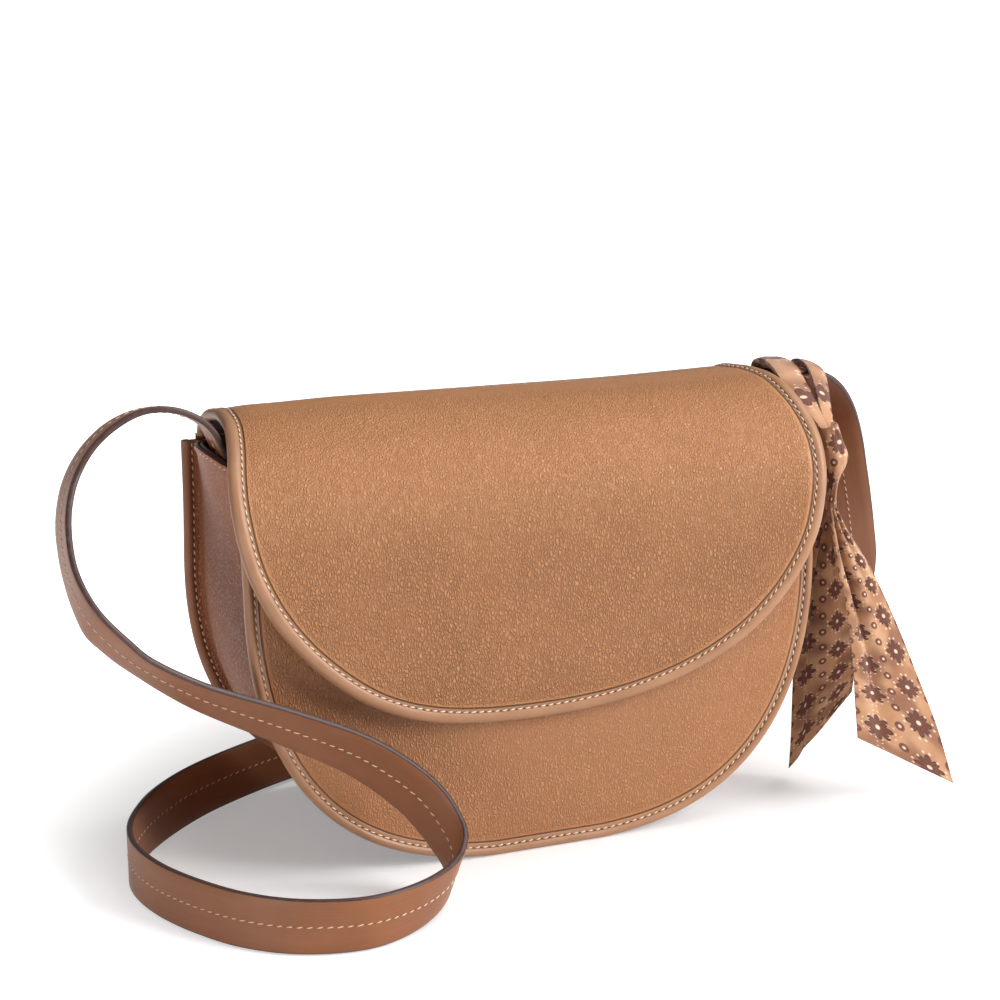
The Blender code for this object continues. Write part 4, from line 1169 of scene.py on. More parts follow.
def wall_layer_rows(lines, section, edge_depth):
    """Rows inside the gusset's wall."""
    rows = []
    for front, back in lines:
        row = []
        for share, extra, fullness in section:
            x, z, ox, oz = between_seams(front, back, share)
            inset = wall_inset + extra - bulge_at(z) * fullness + inner_crease_depth
            row.append(across_wall(x - ox * inset, z - oz * inset, edge_depth, share))
        rows.append(row)
    return rows


def side_facing_rows(side, offset, edge_depth):
    """Rows of the leather strip inside the gusset's mouth, side -1 on the left, 1 on the right."""
    rows = []
    for step in range(side_facing_steps + 1):
        row, up = [], step / side_facing_steps
        for share, extra, fullness in wall_section(offset, inner_columns):
            height = mouth_at(share) - facing_height * (1 - up)
            height += mouth_lift(share, mouth_height) * up
            across = (outline_half_width(height) - wall_inset - extra - inner_crease_depth
                      + bulge_at(height) * fullness)
            row.append(across_wall(side * across, height, edge_depth, share))
        rows.append(row)
    return rows


def dress_inside():
    """Linings and facings, which show when the flap is open."""
    board_depth = panel_thickness + board_gap + board_thickness / 2
    lining_depth = board_depth + board_thickness / 2 + clearance + lining_thickness / 2
    facing_depth = board_depth + board_thickness / 2 + clearance + facing_thickness / 2
    lining_drop = facing_height + clearance * 2
    hems = []
    for word, side, top in (("front", -1, front_mouth_height), ("back", 1, mouth_height)):
        rows = panel_rows(side, top - lining_drop, inner_layer_inset, lining_depth, inner_columns,
                          crown_top=top)
        made = thick_sheet(word + "_lining_cloth", rows, lining_thickness, brown_cloth)
        place_piece(made, "root", "brown_lining", word + "_lining")
        rows = panel_rows(side, top, inner_layer_inset, facing_depth, inner_columns,
                          low=top - facing_height, crown_top=top)
        made = thick_sheet(word + "_facing_leather", rows, facing_thickness, facing_hide, rim=dark_edge)
        place_piece(made, "root", "tan_leather", word + "_facing")
        for at in (0, -1):
            row = rows[at]
            lift = (rows[1][0] - rows[0][0]).normalized() * facing_hem_inset * (1 if at == 0 else -1)
            face = Vector((0.0, -side, 0.0))
            hems.append([(point + lift + face * (facing_thickness / 2 + hem_thread_lift), face)
                         for point in row[1:-1]])
    offset = gusset_thickness / 2 + wall_layer_gap + lining_thickness / 2
    edge_depth = lining_depth + lining_thickness / 2 + clearance
    lines = list(zip(seam_line(front_mouth_height - lining_drop, 0.0),
                     seam_line(mouth_height - lining_drop, 0.0)))
    rows = wall_layer_rows(lines, wall_section(offset, inner_columns), edge_depth)
    made = thick_sheet("gusset_lining_cloth", rows, lining_thickness, brown_cloth)
    place_piece(made, "root", "brown_lining", "gusset_lining")
    offset = gusset_thickness / 2 + wall_layer_gap + facing_thickness / 2
    edge_depth = facing_depth + facing_thickness / 2 + clearance
    for word, side in (("left", -1), ("right", 1)):
        rows = side_facing_rows(side, offset, edge_depth)
        made = thick_sheet(word + "_facing_leather", rows, facing_thickness, facing_hide, rim=dark_edge)
        place_piece(made, "root", "tan_leather", word + "_facing")
        face = Vector((-side, 0.0, 0.0))
        shift = face * (facing_thickness / 2 + hem_thread_lift)
        shift.z += facing_hem_inset
        hems.append([(point + shift, face) for point in rows[0][1:-1]])
    return hems


# ---------------------------------------------------------------- flap shapes


class FlapShape:
    """The flap's profile as a curve and its outline laid flat along it."""

    def __init__(self):
        points = []
        for y_share, rise_share, width_share in flap_profile_shares:
            scale = flap_rise if rise_share > 0.0 else mouth_height
            points.append((flap_reach * y_share, mouth_height + scale * rise_share,
                           flap_half_width * width_share))
        self.curve = smooth_curve(points, profile_samples)
        self.lengths = run_lengths([point[:2] for point in self.curve])
        self.crest = max(range(len(self.curve)), key=lambda index: self.curve[index][1])

    def place(self, along):
        """Profile point, direction along it and outward normal at a length from the rear edge."""
        index, share = stretch_at(self.lengths, along)
        start, end = self.curve[index], self.curve[index + 1]
        point = Vector((0.0, start[0] + (end[0] - start[0]) * share,
                        start[1] + (end[1] - start[1]) * share))
        before = self.curve[max(index - 2, 0)]
        after = self.curve[min(index + 3, len(self.curve) - 1)]
        tangent = Vector((0.0, after[0] - before[0], after[1] - before[1])).normalized()
        return point, tangent, Vector((0.0, tangent.z, -tangent.y))

    def lay(self, x, along):
        """The same over the bag, with the flap's fuller left: point, direction and normal."""
        low = ramp(along, *flap_skew_along)
        skew = flap_skew * math.exp(-((x - flap_skew_centre) / flap_skew_reach) ** 2) * low * low
        point, tangent, normal = self.place(min(along + skew, self.lengths[-1]))
        left = ease(ramp(x, -flap_half_width, flap_crest_left_width))
        share = flap_crest_left_share + (1 - flap_crest_left_share) * left
        share *= 1 - ease(ramp(x, *flap_crest_right))
        near = math.exp(-((along - self.lengths[self.crest]) / flap_crest_reach) ** 2)
        beyond = along - self.lengths[self.crest] - flap_corner_past_crest
        push = flap_corner_push * max(x / flap_half_width, 0.0) ** flap_corner_power
        push *= math.exp(-(beyond / flap_corner_reach) ** 2)
        return point + Vector((x + push, 0.0, flap_crest_lift * share * near)), tangent, normal

    def length_at_front_height(self, height):
        """Length along the profile where its front comes down to a height."""
        for index in range(self.crest, len(self.curve) - 1):
            high, low = self.curve[index][1], self.curve[index + 1][1]
            if high >= height >= low:
                share = (high - height) / (high - low)
                return self.lengths[index] + (self.lengths[index + 1] - self.lengths[index]) * share
        return self.lengths[-1]

    def side(self, inset):
        """The flap's right edge from the rear to the tip's row: x, length, outward direction."""
        oval_start = self.length_at_front_height(flap_oval_height)
        points = [(half, length) for (_, _, half), length in zip(self.curve, self.lengths)
                  if length < oval_start]
        last = math.acos((flap_tip_half_width / flap_half_width) ** (flap_oval_power / 2))
        for index in range(oval_samples + 1):
            angle = last * index / oval_samples
            height = flap_oval_height - flap_oval_drop * math.sin(angle) ** (2 / flap_oval_power)
            points.append((flap_half_width * math.cos(angle) ** (2 / flap_oval_power),
                           self.length_at_front_height(height)))
        return inset_run(even_run(points, flap_steps), inset)

    def tip_sag(self, inset):
        """How much further the tip's middle lies than the ends of its row."""
        tip = self.length_at_front_height(flap_oval_height - flap_oval_drop)
        return tip - inset - self.side(inset)[-1][1]

    def flat_rows(self, inset, columns):
        """The flap laid flat: rows of x and length."""
        sag = self.tip_sag(inset)
        side = self.side(inset)
        rows = []
        for index, (reach, length, _, _) in enumerate(side):
            row = []
            for column in range(columns + 1):
                u = 2 * column / columns - 1
                sagging = sag * (1 - u * u) * (index / (len(side) - 1)) ** flap_tip_sag_power
                row.append((reach * u, length + sagging))
            rows.append(row)
        return rows

    def edge(self, inset):
        """The whole edge from the rear left round the tip to the rear right."""
        right = self.side(inset)
        sag = self.tip_sag(inset)
        reach, length = right[-1][:2]
        tip = []
        for step in range(1, sole_steps):
            u = 2 * step / sole_steps - 1
            slope = -2 * sag * u / reach
            size = math.hypot(slope, 1.0)
            tip.append((reach * u, length + sag * (1 - u * u), -slope / size, 1 / size))
        left = [(-x, s, -out_x, out_s) for x, s, out_x, out_s in right]
        return left + tip + list(reversed(right))


def flap_core_thickness():
    """The flap's three layers, which its rolled edge holds."""
    return (flap_leather_thickness + flap_interlining_thickness + flap_lining_thickness
            + clearance * 2)


def raise_rows(shape, flat_rows, depth, swell=None):
    """Rows of the flat pattern bent over the bag, at a depth below the outer face."""
    rows = []
    for r, flat_row in enumerate(flat_rows):
        row = []
        for c, (x, along) in enumerate(flat_row):
            point, _, normal = shape.lay(x, along)
            extra = swell[r][c] if swell else 0.0
            row.append(point + normal * (extra - depth))
        rows.append(row)
    return rows


def dress_flap(shape):
    """The flap's leather, its two hidden layers and its rolled edge."""
    flat_rows = shape.flat_rows(seam_inset, flap_columns)
    seam = distance_to_line(flat_rows, shape.edge(0.0))
    crest_length = shape.lengths[shape.crest]
    bend, swell = [], []
    for flat_row, gaps in zip(flat_rows, seam):
        bend.append([math.exp(-((along - crest_length) / flap_stretch_reach) ** 2)
                     for _, along in flat_row])
        levels = []
        for (x, along), gap in zip(flat_row, gaps):
            loose = ramp(gap, *flap_loose) * ramp(along, *flap_loose_along)
            lift = noise.noise(Vector((x, along, 0.7)) / swell_size) * panel_swell * loose
            levels.append(lift - flap_draw_depth * (1 - ramp(gap, *flap_drawn_in)))
        swell.append(levels)
    rows = raise_rows(shape, flat_rows, flap_leather_thickness / 2, swell)
    made = thick_sheet("flap_outer_leather", rows, flap_leather_thickness, flap_hide,
                       {"seam": seam, "bend": bend}, rim=dark_edge)
    place_piece(made, "flap", "tan_leather", "flap_leather")
    coarse = shape.flat_rows(seam_inset, flap_inner_columns)
    depth = flap_leather_thickness + clearance + flap_interlining_thickness / 2
    made = thick_sheet("flap_inner_board", raise_rows(shape, coarse, depth), flap_interlining_thickness,
                       fibre_board)
    place_piece(made, "flap", "stiffener_board", "flap_interlining")
    depth = flap_core_thickness() - flap_lining_thickness / 2
    made = thick_sheet("flap_lining_cloth", raise_rows(shape, coarse, depth), flap_lining_thickness,
                       brown_cloth)
    place_piece(made, "flap", "brown_lining", "flap_lining")
    core = flap_core_thickness()
    section, crest = roll_section(core / 2 + clearance, flap_roll_lip)
    rings = []
    for x, length, out_x, out_s in shape.edge(seam_inset):
        point, tangent, normal = shape.lay(x, length)
        centre = point - normal * (core / 2)
        outward = (Vector((out_x, 0.0, 0.0)) + tangent * out_s).normalized()
        rings.append([centre + outward * p + normal * q for p, q in section])
    made = swept("flap_rolled_edge", rings, [roll_hide], marks=crest)
    place_piece(made, "flap", "edge_leather", "flap_edge_binding")


def dress_anchor(shape):
    """The flap's rear margin on the back panel, and the soft crease that joins it to the flap."""
    rows = []
    for step in range(anchor_steps + 1):
        height = mouth_height - anchor_height * (1 - step / anchor_steps)
        row = []
        for column in range(anchor_columns + 1):
            across = anchor_half_width * (2 * column / anchor_columns - 1)
            row.append(wall_point(1, across, height, -clearance - anchor_thickness / 2, mouth_height))
        rows.append(row)
    made = thick_sheet("anchor_strip_leather", rows, anchor_thickness, body_hide, plain_marks(rows),
                       rim=dark_edge)
    place_piece(made, "root", "tan_leather", "flap_anchor_strip")
    rear = shape.curve[0]
    foot = wall_point(1, 0.0, mouth_height, -clearance - anchor_thickness, mouth_height)
    outside = max(rear[0], foot.y) + crease_thickness / 2 + crease_stand
    low, high = mouth_height - crease_below_mouth, rear[1] + crease_above_rear
    reach = anchor_half_width + crease_overhang
    crease = [[Vector((reach * (2 * column / anchor_columns - 1), outside,
                       low + (high - low) * step / crease_steps))
               for column in range(anchor_columns + 1)] for step in range(crease_steps + 1)]
    made = thick_sheet("hinge_crease_leather", crease, crease_thickness, body_hide,
                       plain_marks(crease, bend=1.0), rim=dark_edge)
    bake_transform(made)
    return rows


# ---------------------------------------------------------------- strap


def strap_stations():
    """The strap's route, close set: centres and directions to the first edge."""
    return [(Vector(row[:3]) * MM, Vector(row[3:]).normalized())
            for row in smooth_curve(strap_route_mm, route_samples)]


def strap_frames(stations):
    """Centre, square direction to the first edge, face normal and length so far."""
    frames, run = [], 0.0
    for index, (centre, half) in enumerate(stations):
        before = stations[max(index - 1, 0)][0]
        after = stations[min(index + 1, len(stations) - 1)][0]
        along = (after - before).normalized()
        normal = along.cross(half).normalized()
        half = normal.cross(along).normalized()
        if index:
            run += (centre - stations[index - 1][0]).length
        frames.append((centre, half, normal, run))
    return frames


def strap_section():
    """Across the strap: flat faces with domed, painted edges."""
    width, depth, dome = strap_width / 2, strap_thickness / 2, strap_edge_round
    flat_shares = (0.6, 0.2, -0.2, -0.6)
    corners, slots = [], []
    for sign in (1, -1):
        corners.append((sign * (width - dome), sign * depth))
        for step in range(1, strap_dome_steps):
            angle = math.pi / 2 - math.pi * step / strap_dome_steps
            corners.append((sign * (width - dome + dome * math.cos(angle)),
                            sign * depth * math.sin(angle)))
        corners.append((sign * (width - dome), -sign * depth))
        corners += [(sign * width * share, -sign * depth) for share in flat_shares]
        slots += [1] * strap_dome_steps + [0] * (len(flat_shares) + 1)
    return corners, slots


def sweep_strap(name, frames, node):
    """A stretch of the strap, with its UV map along and across."""
    corners, slots = strap_section()
    rings = [[centre + half * across + normal * lift for across, lift in corners]
             for centre, half, normal, _ in frames]
    made = swept(name, rings, [belt_hide, dark_edge], slots,
                 run_uv=([run for _, _, _, run in frames], [across for across, _ in corners]))
    return place_piece(made, "root", "strap_leather", node)


def strap_end_frames(side, top_centre, half):
    """The stretch of strap sewn inside the gusset's wall."""
    inner = gusset_thickness / 2 + wall_layer_gap * 2 + lining_thickness + strap_thickness / 2
    stations = []
    for step in range(strap_end_steps + 1):
        height = strap_end_top - strap_end_height * step / strap_end_steps
        across = outline_half_width(height) - wall_inset + bulge_at(height) * strap_seat_share - inner
        stations.append((Vector((side * across, top_centre.y, height)), half))
    return strap_frames(stations)


# ---------------------------------------------------------------- scarf


def folded_section(width, depth, phase):
    """Across a gathered ribbon: lengthwise folds outside, flatter inside, as across and lift."""
    outer_steps, inner_steps = 22, 8
    dome_share, fold_share, belly_share, seat_share = 0.62, 0.30, 0.18, 0.35
    fold_turns = 1.45
    section = []
    for step in range(outer_steps + 1):
        u = 1 - 2 * step / outer_steps
        dome = dome_share * (1 - abs(u) ** 3.5)
        wave = 0.5 + 0.5 * math.cos(math.tau * (fold_turns * u + phase))
        section.append((width / 2 * u,
                        depth * (dome + fold_share * wave * (1 - u ** 4) - seat_share)))
    for step in range(1, inner_steps):
        u = -1 + 2 * step / inner_steps
        section.append((width / 2 * u, depth * (-seat_share - belly_share * (1 - abs(u) ** 3))))
    return section


def gather_ribbon(name, route_mm, across_hint, phase):
    """A stretch of scarf gathered into a flat roll along its route."""
    fine = smooth_curve(route_mm, ribbon_samples)
    rings, lengths, run = [], [], 0.0
    for index, (x, y, z, width, depth) in enumerate(fine):
        centre = Vector((x, y, z)) * MM
        before = Vector(fine[max(index - 1, 0)][:3]) * MM
        after = Vector(fine[min(index + 1, len(fine) - 1)][:3]) * MM
        if index:
            run += (centre - before).length
        along = (after - before).normalized()
        across = (across_hint - along * across_hint.dot(along)).normalized()
        lift = across.cross(along).normalized()
        turn = phase + fold_wander * math.sin(run / fold_wander_length)
        rings.append([centre + across * p + lift * q
                      for p, q in folded_section(width * MM, depth * MM, turn)])
        lengths.append(run)
    count = len(rings[0])
    widths = [scarf_width * gathered_share * corner / count for corner in range(count + 1)]
    made = swept(name + "_cloth", rings, [scarf_print], run_uv=(lengths, widths), uv_name="cloth")
    return place_piece(made, "root", "scarf_cloth", name)


def tie_knot():
    """The knot: a wrapped collar over a narrower throat, with folds drawn round it."""
    fine = smooth_curve(knot_mm, knot_samples)
    rings, lengths, run = [], [], 0.0
    for index, (x, y, z, half_width, half_depth) in enumerate(fine):
        share = index / (len(fine) - 1)
        centre = Vector((x, y, z)) * MM
        if index:
            run += (centre - Vector(fine[index - 1][:3]) * MM).length
        ring = []
        for side in range(knot_sides):
            angle = math.tau * side / knot_sides
            end = collar_end + collar_waver * math.cos(angle - collar_waver_start)
            wrap = 1 / (1 + math.exp((share - end) / collar_fade))
            folds = sum(depth * math.cos(count * angle + turn * share + start)
                        for depth, count, turn, start in knot_folds)
            swell = knot_fullness + collar_swell * wrap * min(share * collar_rise, 1.0) + folds
            ring.append(centre + Vector((math.cos(angle) * half_width * swell,
                                         math.sin(angle) * half_depth * swell,
                                         math.cos(angle) * knot_tilt)) * MM)
        rings.append(ring)
        lengths.append(run)
    widths = [knot_wrap * side / knot_sides for side in range(knot_sides + 1)]
    made = swept("scarf_knot_cloth", rings, [scarf_print], run_uv=(lengths, widths), uv_name="cloth")
    return place_piece(made, "root", "scarf_cloth", "scarf_knot")


def hang_tail(name, route_mm, length, phase):
    """One hanging end: gathered at the knot, opening in soft folds, cut on the slant."""
    fine = smooth_curve(route_mm, tail_samples)
    wave_across, wave_down, wave_apart = tail_wave_turns
    rows = []
    for index, (lx, ly, lz, rx, ry, rz, depth) in enumerate(fine):
        left, right = Vector((lx, ly, lz)) * MM, Vector((rx, ry, rz)) * MM
        share = index / (len(fine) - 1)
        row = []
        for column in range(tail_columns + 1):
            u = column / tail_columns
            folds = sum(height * math.exp(-((u - at + drift * share) / reach) ** 2)
                        for height, at, drift, reach in tail_folds)
            ripple = tail_ripple * math.sin(math.tau * (tail_ripple_turns * u + phase))
            ripple *= (1 - share) ** tail_ripple_power
            wave = tail_wave * noise.noise(Vector((u * wave_across, share * wave_down,
                                                   phase * wave_apart)))
            toward = depth * MM * (folds + ripple + wave)
            point = left.lerp(right, u)
            row.append(point + tail_face * toward)
        rows.append(row)
    made = thick_sheet(name + "_cloth", rows, scarf_cloth_thickness, scarf_print,
                       cloth_size=(scarf_width, length))
    return place_piece(made, "root", "scarf_cloth", name)


def make_scarf():
    """The printed scarf: two turns over the strap, one below it, the knot and two tails."""
    wound = [gather_ribbon("scarf_turn_1", turn_one_mm, Vector((1.0, 0.1, -0.1)), 0.1),
             gather_ribbon("scarf_turn_2", turn_two_mm, Vector((1.0, 0.25, -0.35)), 0.45),
             gather_ribbon("scarf_under_turn", under_turn_mm, Vector((1.0, 0.0, 0.0)), 0.7),
             tie_knot()]
    for word, route_mm, length, phase, others in (
        ("right", right_tail_mm, right_tail_length, 0.15, wound),
        ("left", left_tail_mm, left_tail_length, 0.6, []),
    ):
        tail = hang_tail("scarf_tail_" + word, route_mm, length, phase)


# ---------------------------------------------------------------- stitching


def stitch_tree(name, finish):
    """Node tree: one bent stitch on every point, turned along its seam and onto its surface."""
    tree = bpy.data.node_groups.new(name, "GeometryNodeTree")
    face = tree.interface
    face.new_socket("Seam points", in_out="INPUT", socket_type="NodeSocketGeometry")
    for label in ("Stitch length", "Thread width", "Thread height", "Bow share", "Uneven share"):
        face.new_socket(label, in_out="INPUT", socket_type="NodeSocketFloat")
    face.new_socket("Seed", in_out="INPUT", socket_type="NodeSocketInt")
    face.new_socket("Stitches", in_out="OUTPUT", socket_type="NodeSocketGeometry")
    entry = put(tree, "NodeGroupInput")
    leave = put(tree, "NodeGroupOutput")
    bead = put(tree, "GeometryNodeMeshUVSphere", {"Segments": 8, "Rings": 6, "Radius": 0.5})
    position = put(tree, "GeometryNodeInputPosition")
    split = put(tree, "ShaderNodeSeparateXYZ", {"Vector": position.outputs[0]})
    bow = times(tree, times(tree, split.outputs["X"], split.outputs["X"]),
                entry.outputs["Bow share"])
    offset = put(tree, "ShaderNodeCombineXYZ", {"Z": work_out(tree, "SUBTRACT", 0.0, bow)})
    bent = put(tree, "GeometryNodeSetPosition", {"Geometry": bead.outputs["Mesh"],
                                                 "Offset": offset.outputs[0]})
    size = put(tree, "ShaderNodeCombineXYZ", {"X": entry.outputs["Stitch length"],
                                              "Y": entry.outputs["Thread width"],
                                              "Z": entry.outputs["Thread height"]})
    run = put(tree, "GeometryNodeInputNamedAttribute", {"Name": "run"}, data_type="FLOAT_VECTOR")
    up = put(tree, "GeometryNodeInputNamedAttribute", {"Name": "up"}, data_type="FLOAT_VECTOR")
    first = put(tree, "FunctionNodeAlignRotationToVector", {"Vector": run.outputs[0]}, axis="X")
    second = put(tree, "FunctionNodeAlignRotationToVector",
                 {"Rotation": first.outputs[0], "Vector": up.outputs[0]}, axis="Z", pivot_axis="X")
    low = work_out(tree, "SUBTRACT", 1.0, entry.outputs["Uneven share"])
    vary = put(tree, "FunctionNodeRandomValue", {2: low, 3: 1.0, "Seed": entry.outputs["Seed"]},
               data_type="FLOAT")
    scale = put(tree, "ShaderNodeVectorMath", {0: size.outputs[0], "Scale": vary.outputs[1]},
                operation="SCALE")
    placed = put(tree, "GeometryNodeInstanceOnPoints",
                 {"Points": entry.outputs["Seam points"], "Instance": bent.outputs["Geometry"],
                  "Rotation": second.outputs[0], "Scale": scale.outputs[0]})
    real = put(tree, "GeometryNodeRealizeInstances", {"Geometry": placed.outputs["Instances"]})
    soft = put(tree, "GeometryNodeSetShadeSmooth", {"Geometry": real.outputs["Geometry"]})
    painted = put(tree, "GeometryNodeSetMaterial", {"Geometry": soft.outputs["Geometry"],
                                                    "Material": finish})
    tree.links.new(painted.outputs["Geometry"], leave.inputs[0])
    return tree


thread_tree = stitch_tree("stitch_maker", cream_thread)
strap_thread_tree = stitch_tree("strap_stitch_maker", strap_thread)
hole_tree = stitch_tree("needle_hole_maker", needle_hole_shade)


def seam_spots(runs, pitch, start_share):
    """Evenly spaced spots along runs of points and surface directions."""
    spots = []
    for run in runs:
        lengths = run_lengths([point for point, _ in run])
        count = max(int(lengths[-1] / pitch), 1)
        step, index = lengths[-1] / count, 0
        for number in range(count):
            index, share = stretch_at(lengths, (number + start_share) * step, index)
            (start, start_up), (end, end_up) = run[index], run[index + 1]
            up = start_up.lerp(end_up, share).normalized()
            along = (end - start).normalized()
            lean = Matrix.Rotation(stitch_lean, 3, up)
            spots.append((start.lerp(end, share), lean @ along, up))
    return spots


def grow_stitches(name, runs, body, tree, sizes, start_share, sink, pitch):
    """All the stitches, or all the needle holes, of some runs as one plain mesh."""
    spots = seam_spots(runs, pitch, start_share)
    mesh = bpy.data.meshes.new(name)
    shift = Vector((0.0, centre_shift, 0.0))
    mesh.from_pydata([spot + shift - up * sink for spot, _, up in spots], [], [])
    for key, values in (("run", [along for _, along, _ in spots]), ("up", [up for _, _, up in spots])):
        layer = mesh.attributes.new(key, "FLOAT_VECTOR", "POINT")
        layer.data.foreach_set("vector", [number for value in values for number in value])
    made = link_object(name, mesh)
    grow = made.modifiers.new("stitches", "NODES")
    grow.node_group = tree
    for item in tree.interface.items_tree:
        if item.in_out == "INPUT" and item.name in sizes:
            grow[item.identifier] = sizes[item.name]
    settle(made)
    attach(made, body)
    return made


def sew(name, runs, body, maker=None, thickness=thread_thickness, hole=hole_size,
        pitch=stitch_pitch, length=stitch_length):
    """A seam's stitches, with dark beads between them that stand for the needle holes as painted shade.
    """
    thread = grow_stitches(name + "_stitches", runs, body, maker or thread_tree,
                           {"Stitch length": length, "Thread width": thickness,
                            "Thread height": thickness * thread_height_share,
                            "Bow share": stitch_bow_share, "Uneven share": stitch_uneven_share,
                            "Seed": stitch_seed}, 0.5, thread_sink, pitch)
    holes = grow_stitches(name + "_needle_holes", runs, body, hole_tree,
                          {"Stitch length": hole * hole_length_share,
                           "Thread width": hole * hole_width_share, "Thread height": hole_depth,
                           "Bow share": 0.0, "Uneven share": hole_uneven_share,
                           "Seed": stitch_seed + 1}, 1.0, 0.0, pitch)
    return thread, holes


# ---------------------------------------------------------------- making


def make_camera():
    """The photograph's view."""
    forward = Vector((math.sin(view_turn) * math.cos(view_dip),
                      math.cos(view_turn) * math.cos(view_dip), math.sin(view_dip)))
    right = Vector((math.cos(view_turn), -math.sin(view_turn), 0.0))
    up = right.cross(forward)
    lens = bpy.data.cameras.new("view_camera")
    lens.lens = view_lens
    lens.sensor_width = view_sensor
    lens.clip_start = view_near
    camera = link_object("view_camera", lens)
    turned = Matrix((right, up, -forward)).transposed().to_4x4()
    camera.matrix_world = Matrix.Translation(view_place) @ turned
    bpy.context.scene.camera = camera


def make_strap():
    """The free strap, its sewn ends and their stitching."""
    stations = strap_stations()
    frames = strap_frames(stations)
    strap = sweep_strap("shoulder_strap_leather", frames, "shoulder_strap")
    shift = Vector((0.0, centre_shift, 0.0))
    path = [centre + shift for centre, _, _, _ in frames]
    length = frames[-1][3]
    lift = strap_thickness / 2 + thread_lift
    runs = [[(centre + normal * lift * sign, normal * sign) for centre, _, normal, _ in frames]
            for sign in (1, -1)]
    threads = sew("strap", runs, "root", strap_thread_tree, strap_thread_thickness, strap_hole_size,
                  strap_stitch_pitch, strap_stitch_length)
    end_runs = []
    for word, side, (top_centre, half) in (("left", -1, stations[0]), ("right", 1, stations[-1])):
        end_frames = strap_end_frames(side, top_centre, half)
        sweep_strap("strap_end_" + word + "_leather", end_frames, "strap_end_" + word)
        face = Vector((-side, 0.0, 0.0))
        inner = [centre + face * lift for centre, _, _, _ in end_frames]
        across = half.normalized() * (strap_width / 2 - strap_end_stitch_inset)
        for sign in (1, -1):
            end_runs.append([(point + across * sign, face) for point in inner[1:]])
        for at in (1, -1):
            end_runs.append([(inner[at] + across, face), (inner[at] - across, face)])
    sew("strap_end", end_runs, "root")
    return strap, path, length, list(threads)


def make_seams(shape, gusset, inside_hems, anchor):
    """Every visible row of stitches on the body and on the flap."""
    runs = []
    core = panel_thickness + clearance + gusset_thickness
    for side, top in ((-1, front_mouth_height), (1, mouth_height)):
        inset = seam_inset + body_roll_lip + seam_beside_roll
        for lift, sign in ((-thread_lift, 1.0), (core + thread_lift, -1.0)):
            run = []
            for x, z, _, _ in seam_line(top, inset):
                run.append((wall_point(side, x, z, lift), Vector((0.0, side * sign, 0.0))))
            runs.append(run)
    for end in (0, -1):
        step = 1 if end == 0 else -1
        top_row, next_row = gusset[end], gusset[end + 2 * step]
        run = []
        skipped = len(top_row) // hem_skip
        for column in range(skipped, len(top_row) - skipped):
            down = (next_row[column] - top_row[column]).normalized()
            after = min(column + 1, len(top_row) - 1)
            across = (top_row[after] - top_row[column - 1]).normalized()
            out = down.cross(across).normalized()
            if out.x * top_row[column].x < 0:
                out = -out
            stand = gusset_thickness / 2 + hem_thread_lift
            run.append((top_row[column] + down * hem_drop + out * stand, out))
        runs.append(run)
    runs += inside_hems
    for row in (anchor[1], anchor[-2]):
        out = Vector((0.0, 1.0, side_lean_share)).normalized()
        runs.append([(point + out * (anchor_thickness / 2 + thread_lift), out) for point in row[1:-1]])
    sew("body", runs, "root")
    runs = []
    inset = seam_inset + flap_roll_lip + seam_beside_roll
    for lift, sign in ((-flap_thread_lift, 1.0), (flap_core_thickness() + hem_thread_lift, -1.0)):
        run = []
        for x, length, _, _ in shape.edge(inset)[1:-1]:
            point, _, normal = shape.lay(x, length)
            run.append((point - normal * lift, normal * sign))
        runs.append(run)
    sew("flap", runs, "flap")


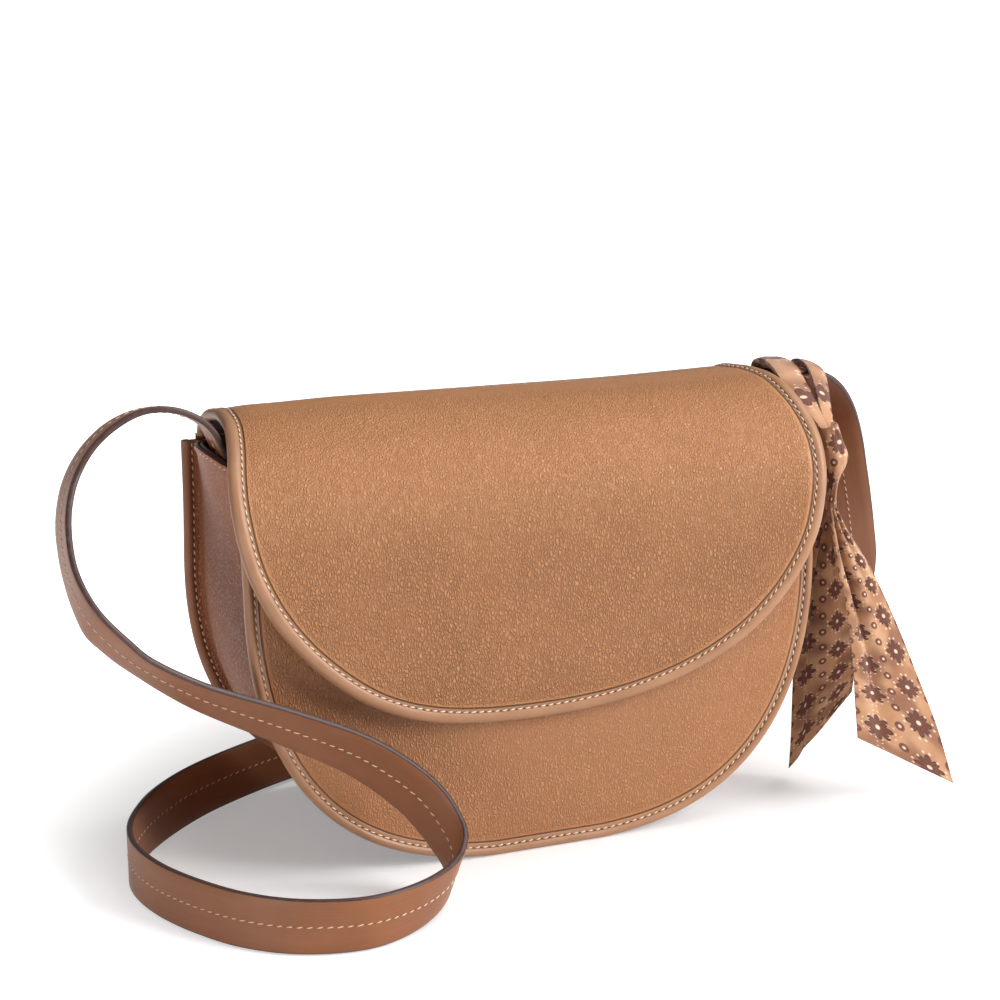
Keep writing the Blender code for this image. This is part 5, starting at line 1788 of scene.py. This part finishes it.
def make_floor_and_light():
    """Pale floor with a painted glow past the bag's shadow, white surroundings and soft studio light."""
    bm = bmesh.new()
    bmesh.ops.create_grid(bm, x_segments=1, y_segments=1, size=floor_half_size)
    mesh = bpy.data.meshes.new("studio_floor")
    bm.to_mesh(mesh)
    bm.free()
    floor = link_object("studio_floor", mesh)
    paper = bpy.data.materials.new("pale_paper_with_painted_glow")
    paper.use_nodes = True
    tree = paper.node_tree
    tree.nodes.clear()
    seen = put(tree, "ShaderNodeLightPath")
    shown = work_out(tree, "MAXIMUM", seen.outputs["Is Camera Ray"], seen.outputs["Is Glossy Ray"])
    shown = work_out(tree, "MAXIMUM", shown, seen.outputs["Is Transmission Ray"])
    matt = put(tree, "ShaderNodeBsdfDiffuse", {"Color": floor_colour})
    place = put(tree, "ShaderNodeTexCoord")
    away = put(tree, "ShaderNodeVectorMath", {0: place.outputs["Object"]}, operation="LENGTH")
    # Painted light: the floor glows for camera and glossy rays, weakly near the bag and fully past
    # shadow_reach.
    level = fade(tree, away.outputs["Value"], *shadow_reach, shadow_glow, 1.0)
    glow = put(tree, "ShaderNodeEmission",
               {"Color": white, "Strength": times(tree, shown, level)})
    both = put(tree, "ShaderNodeAddShader", {0: matt.outputs[0], 1: glow.outputs[0]})
    put(tree, "ShaderNodeOutputMaterial", {"Surface": both.outputs[0]})
    mesh.materials.append(paper)

    world = bpy.data.worlds.new("studio")
    bpy.context.scene.world = world
    world.use_nodes = True
    tree = world.node_tree
    tree.nodes.clear()
    seen = put(tree, "ShaderNodeLightPath")
    shown = work_out(tree, "MAXIMUM", seen.outputs["Is Camera Ray"], seen.outputs["Is Transmission Ray"])
    level = fade(tree, shown, 0.0, 1.0, sky_level, 1.0)
    sky = put(tree, "ShaderNodeBackground", {"Color": white, "Strength": level})
    put(tree, "ShaderNodeOutputWorld", {"Surface": sky.outputs[0]})

    for name, place, size, power in studio_lights:
        lamp = bpy.data.lights.new(name, "AREA")
        lamp.shape = "SQUARE"
        lamp.size = size
        lamp.energy = power
        made = link_object(name, lamp)
        made.location = place
        aim = light_aim - Vector(place)
        made.rotation_euler = aim.to_track_quat("-Z", "Y").to_euler()
    bpy.context.scene.view_settings.view_transform = "Standard"


def finish_hidden_parts():
    """The stiffener boards and the snap keep their solids and get their finishes."""
    for finish, nodes in (
        (fibre_board, ("front_board", "back_board")),
        (snap_brass, ("snap_socket", "snap_socket_washer", "snap_stud", "snap_stud_washer")),
    ):
        for node in nodes:
            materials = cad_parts[node].data.materials
            materials.clear()
            materials.append(finish)


make_camera()
strap, strap_path, strap_length, strap_threads = make_strap()
flap_shape = FlapShape()
dress_panel("front", -1, front_mouth_height)
dress_panel("back", 1, mouth_height)
dress_body_binding("front", -1, front_mouth_height)
dress_body_binding("back", 1, mouth_height)
gusset = dress_gusset()
hems = dress_inside()
dress_flap(flap_shape)
anchor = dress_anchor(flap_shape)
make_seams(flap_shape, gusset, hems, anchor)
make_scarf()
finish_hidden_parts()
make_floor_and_light()
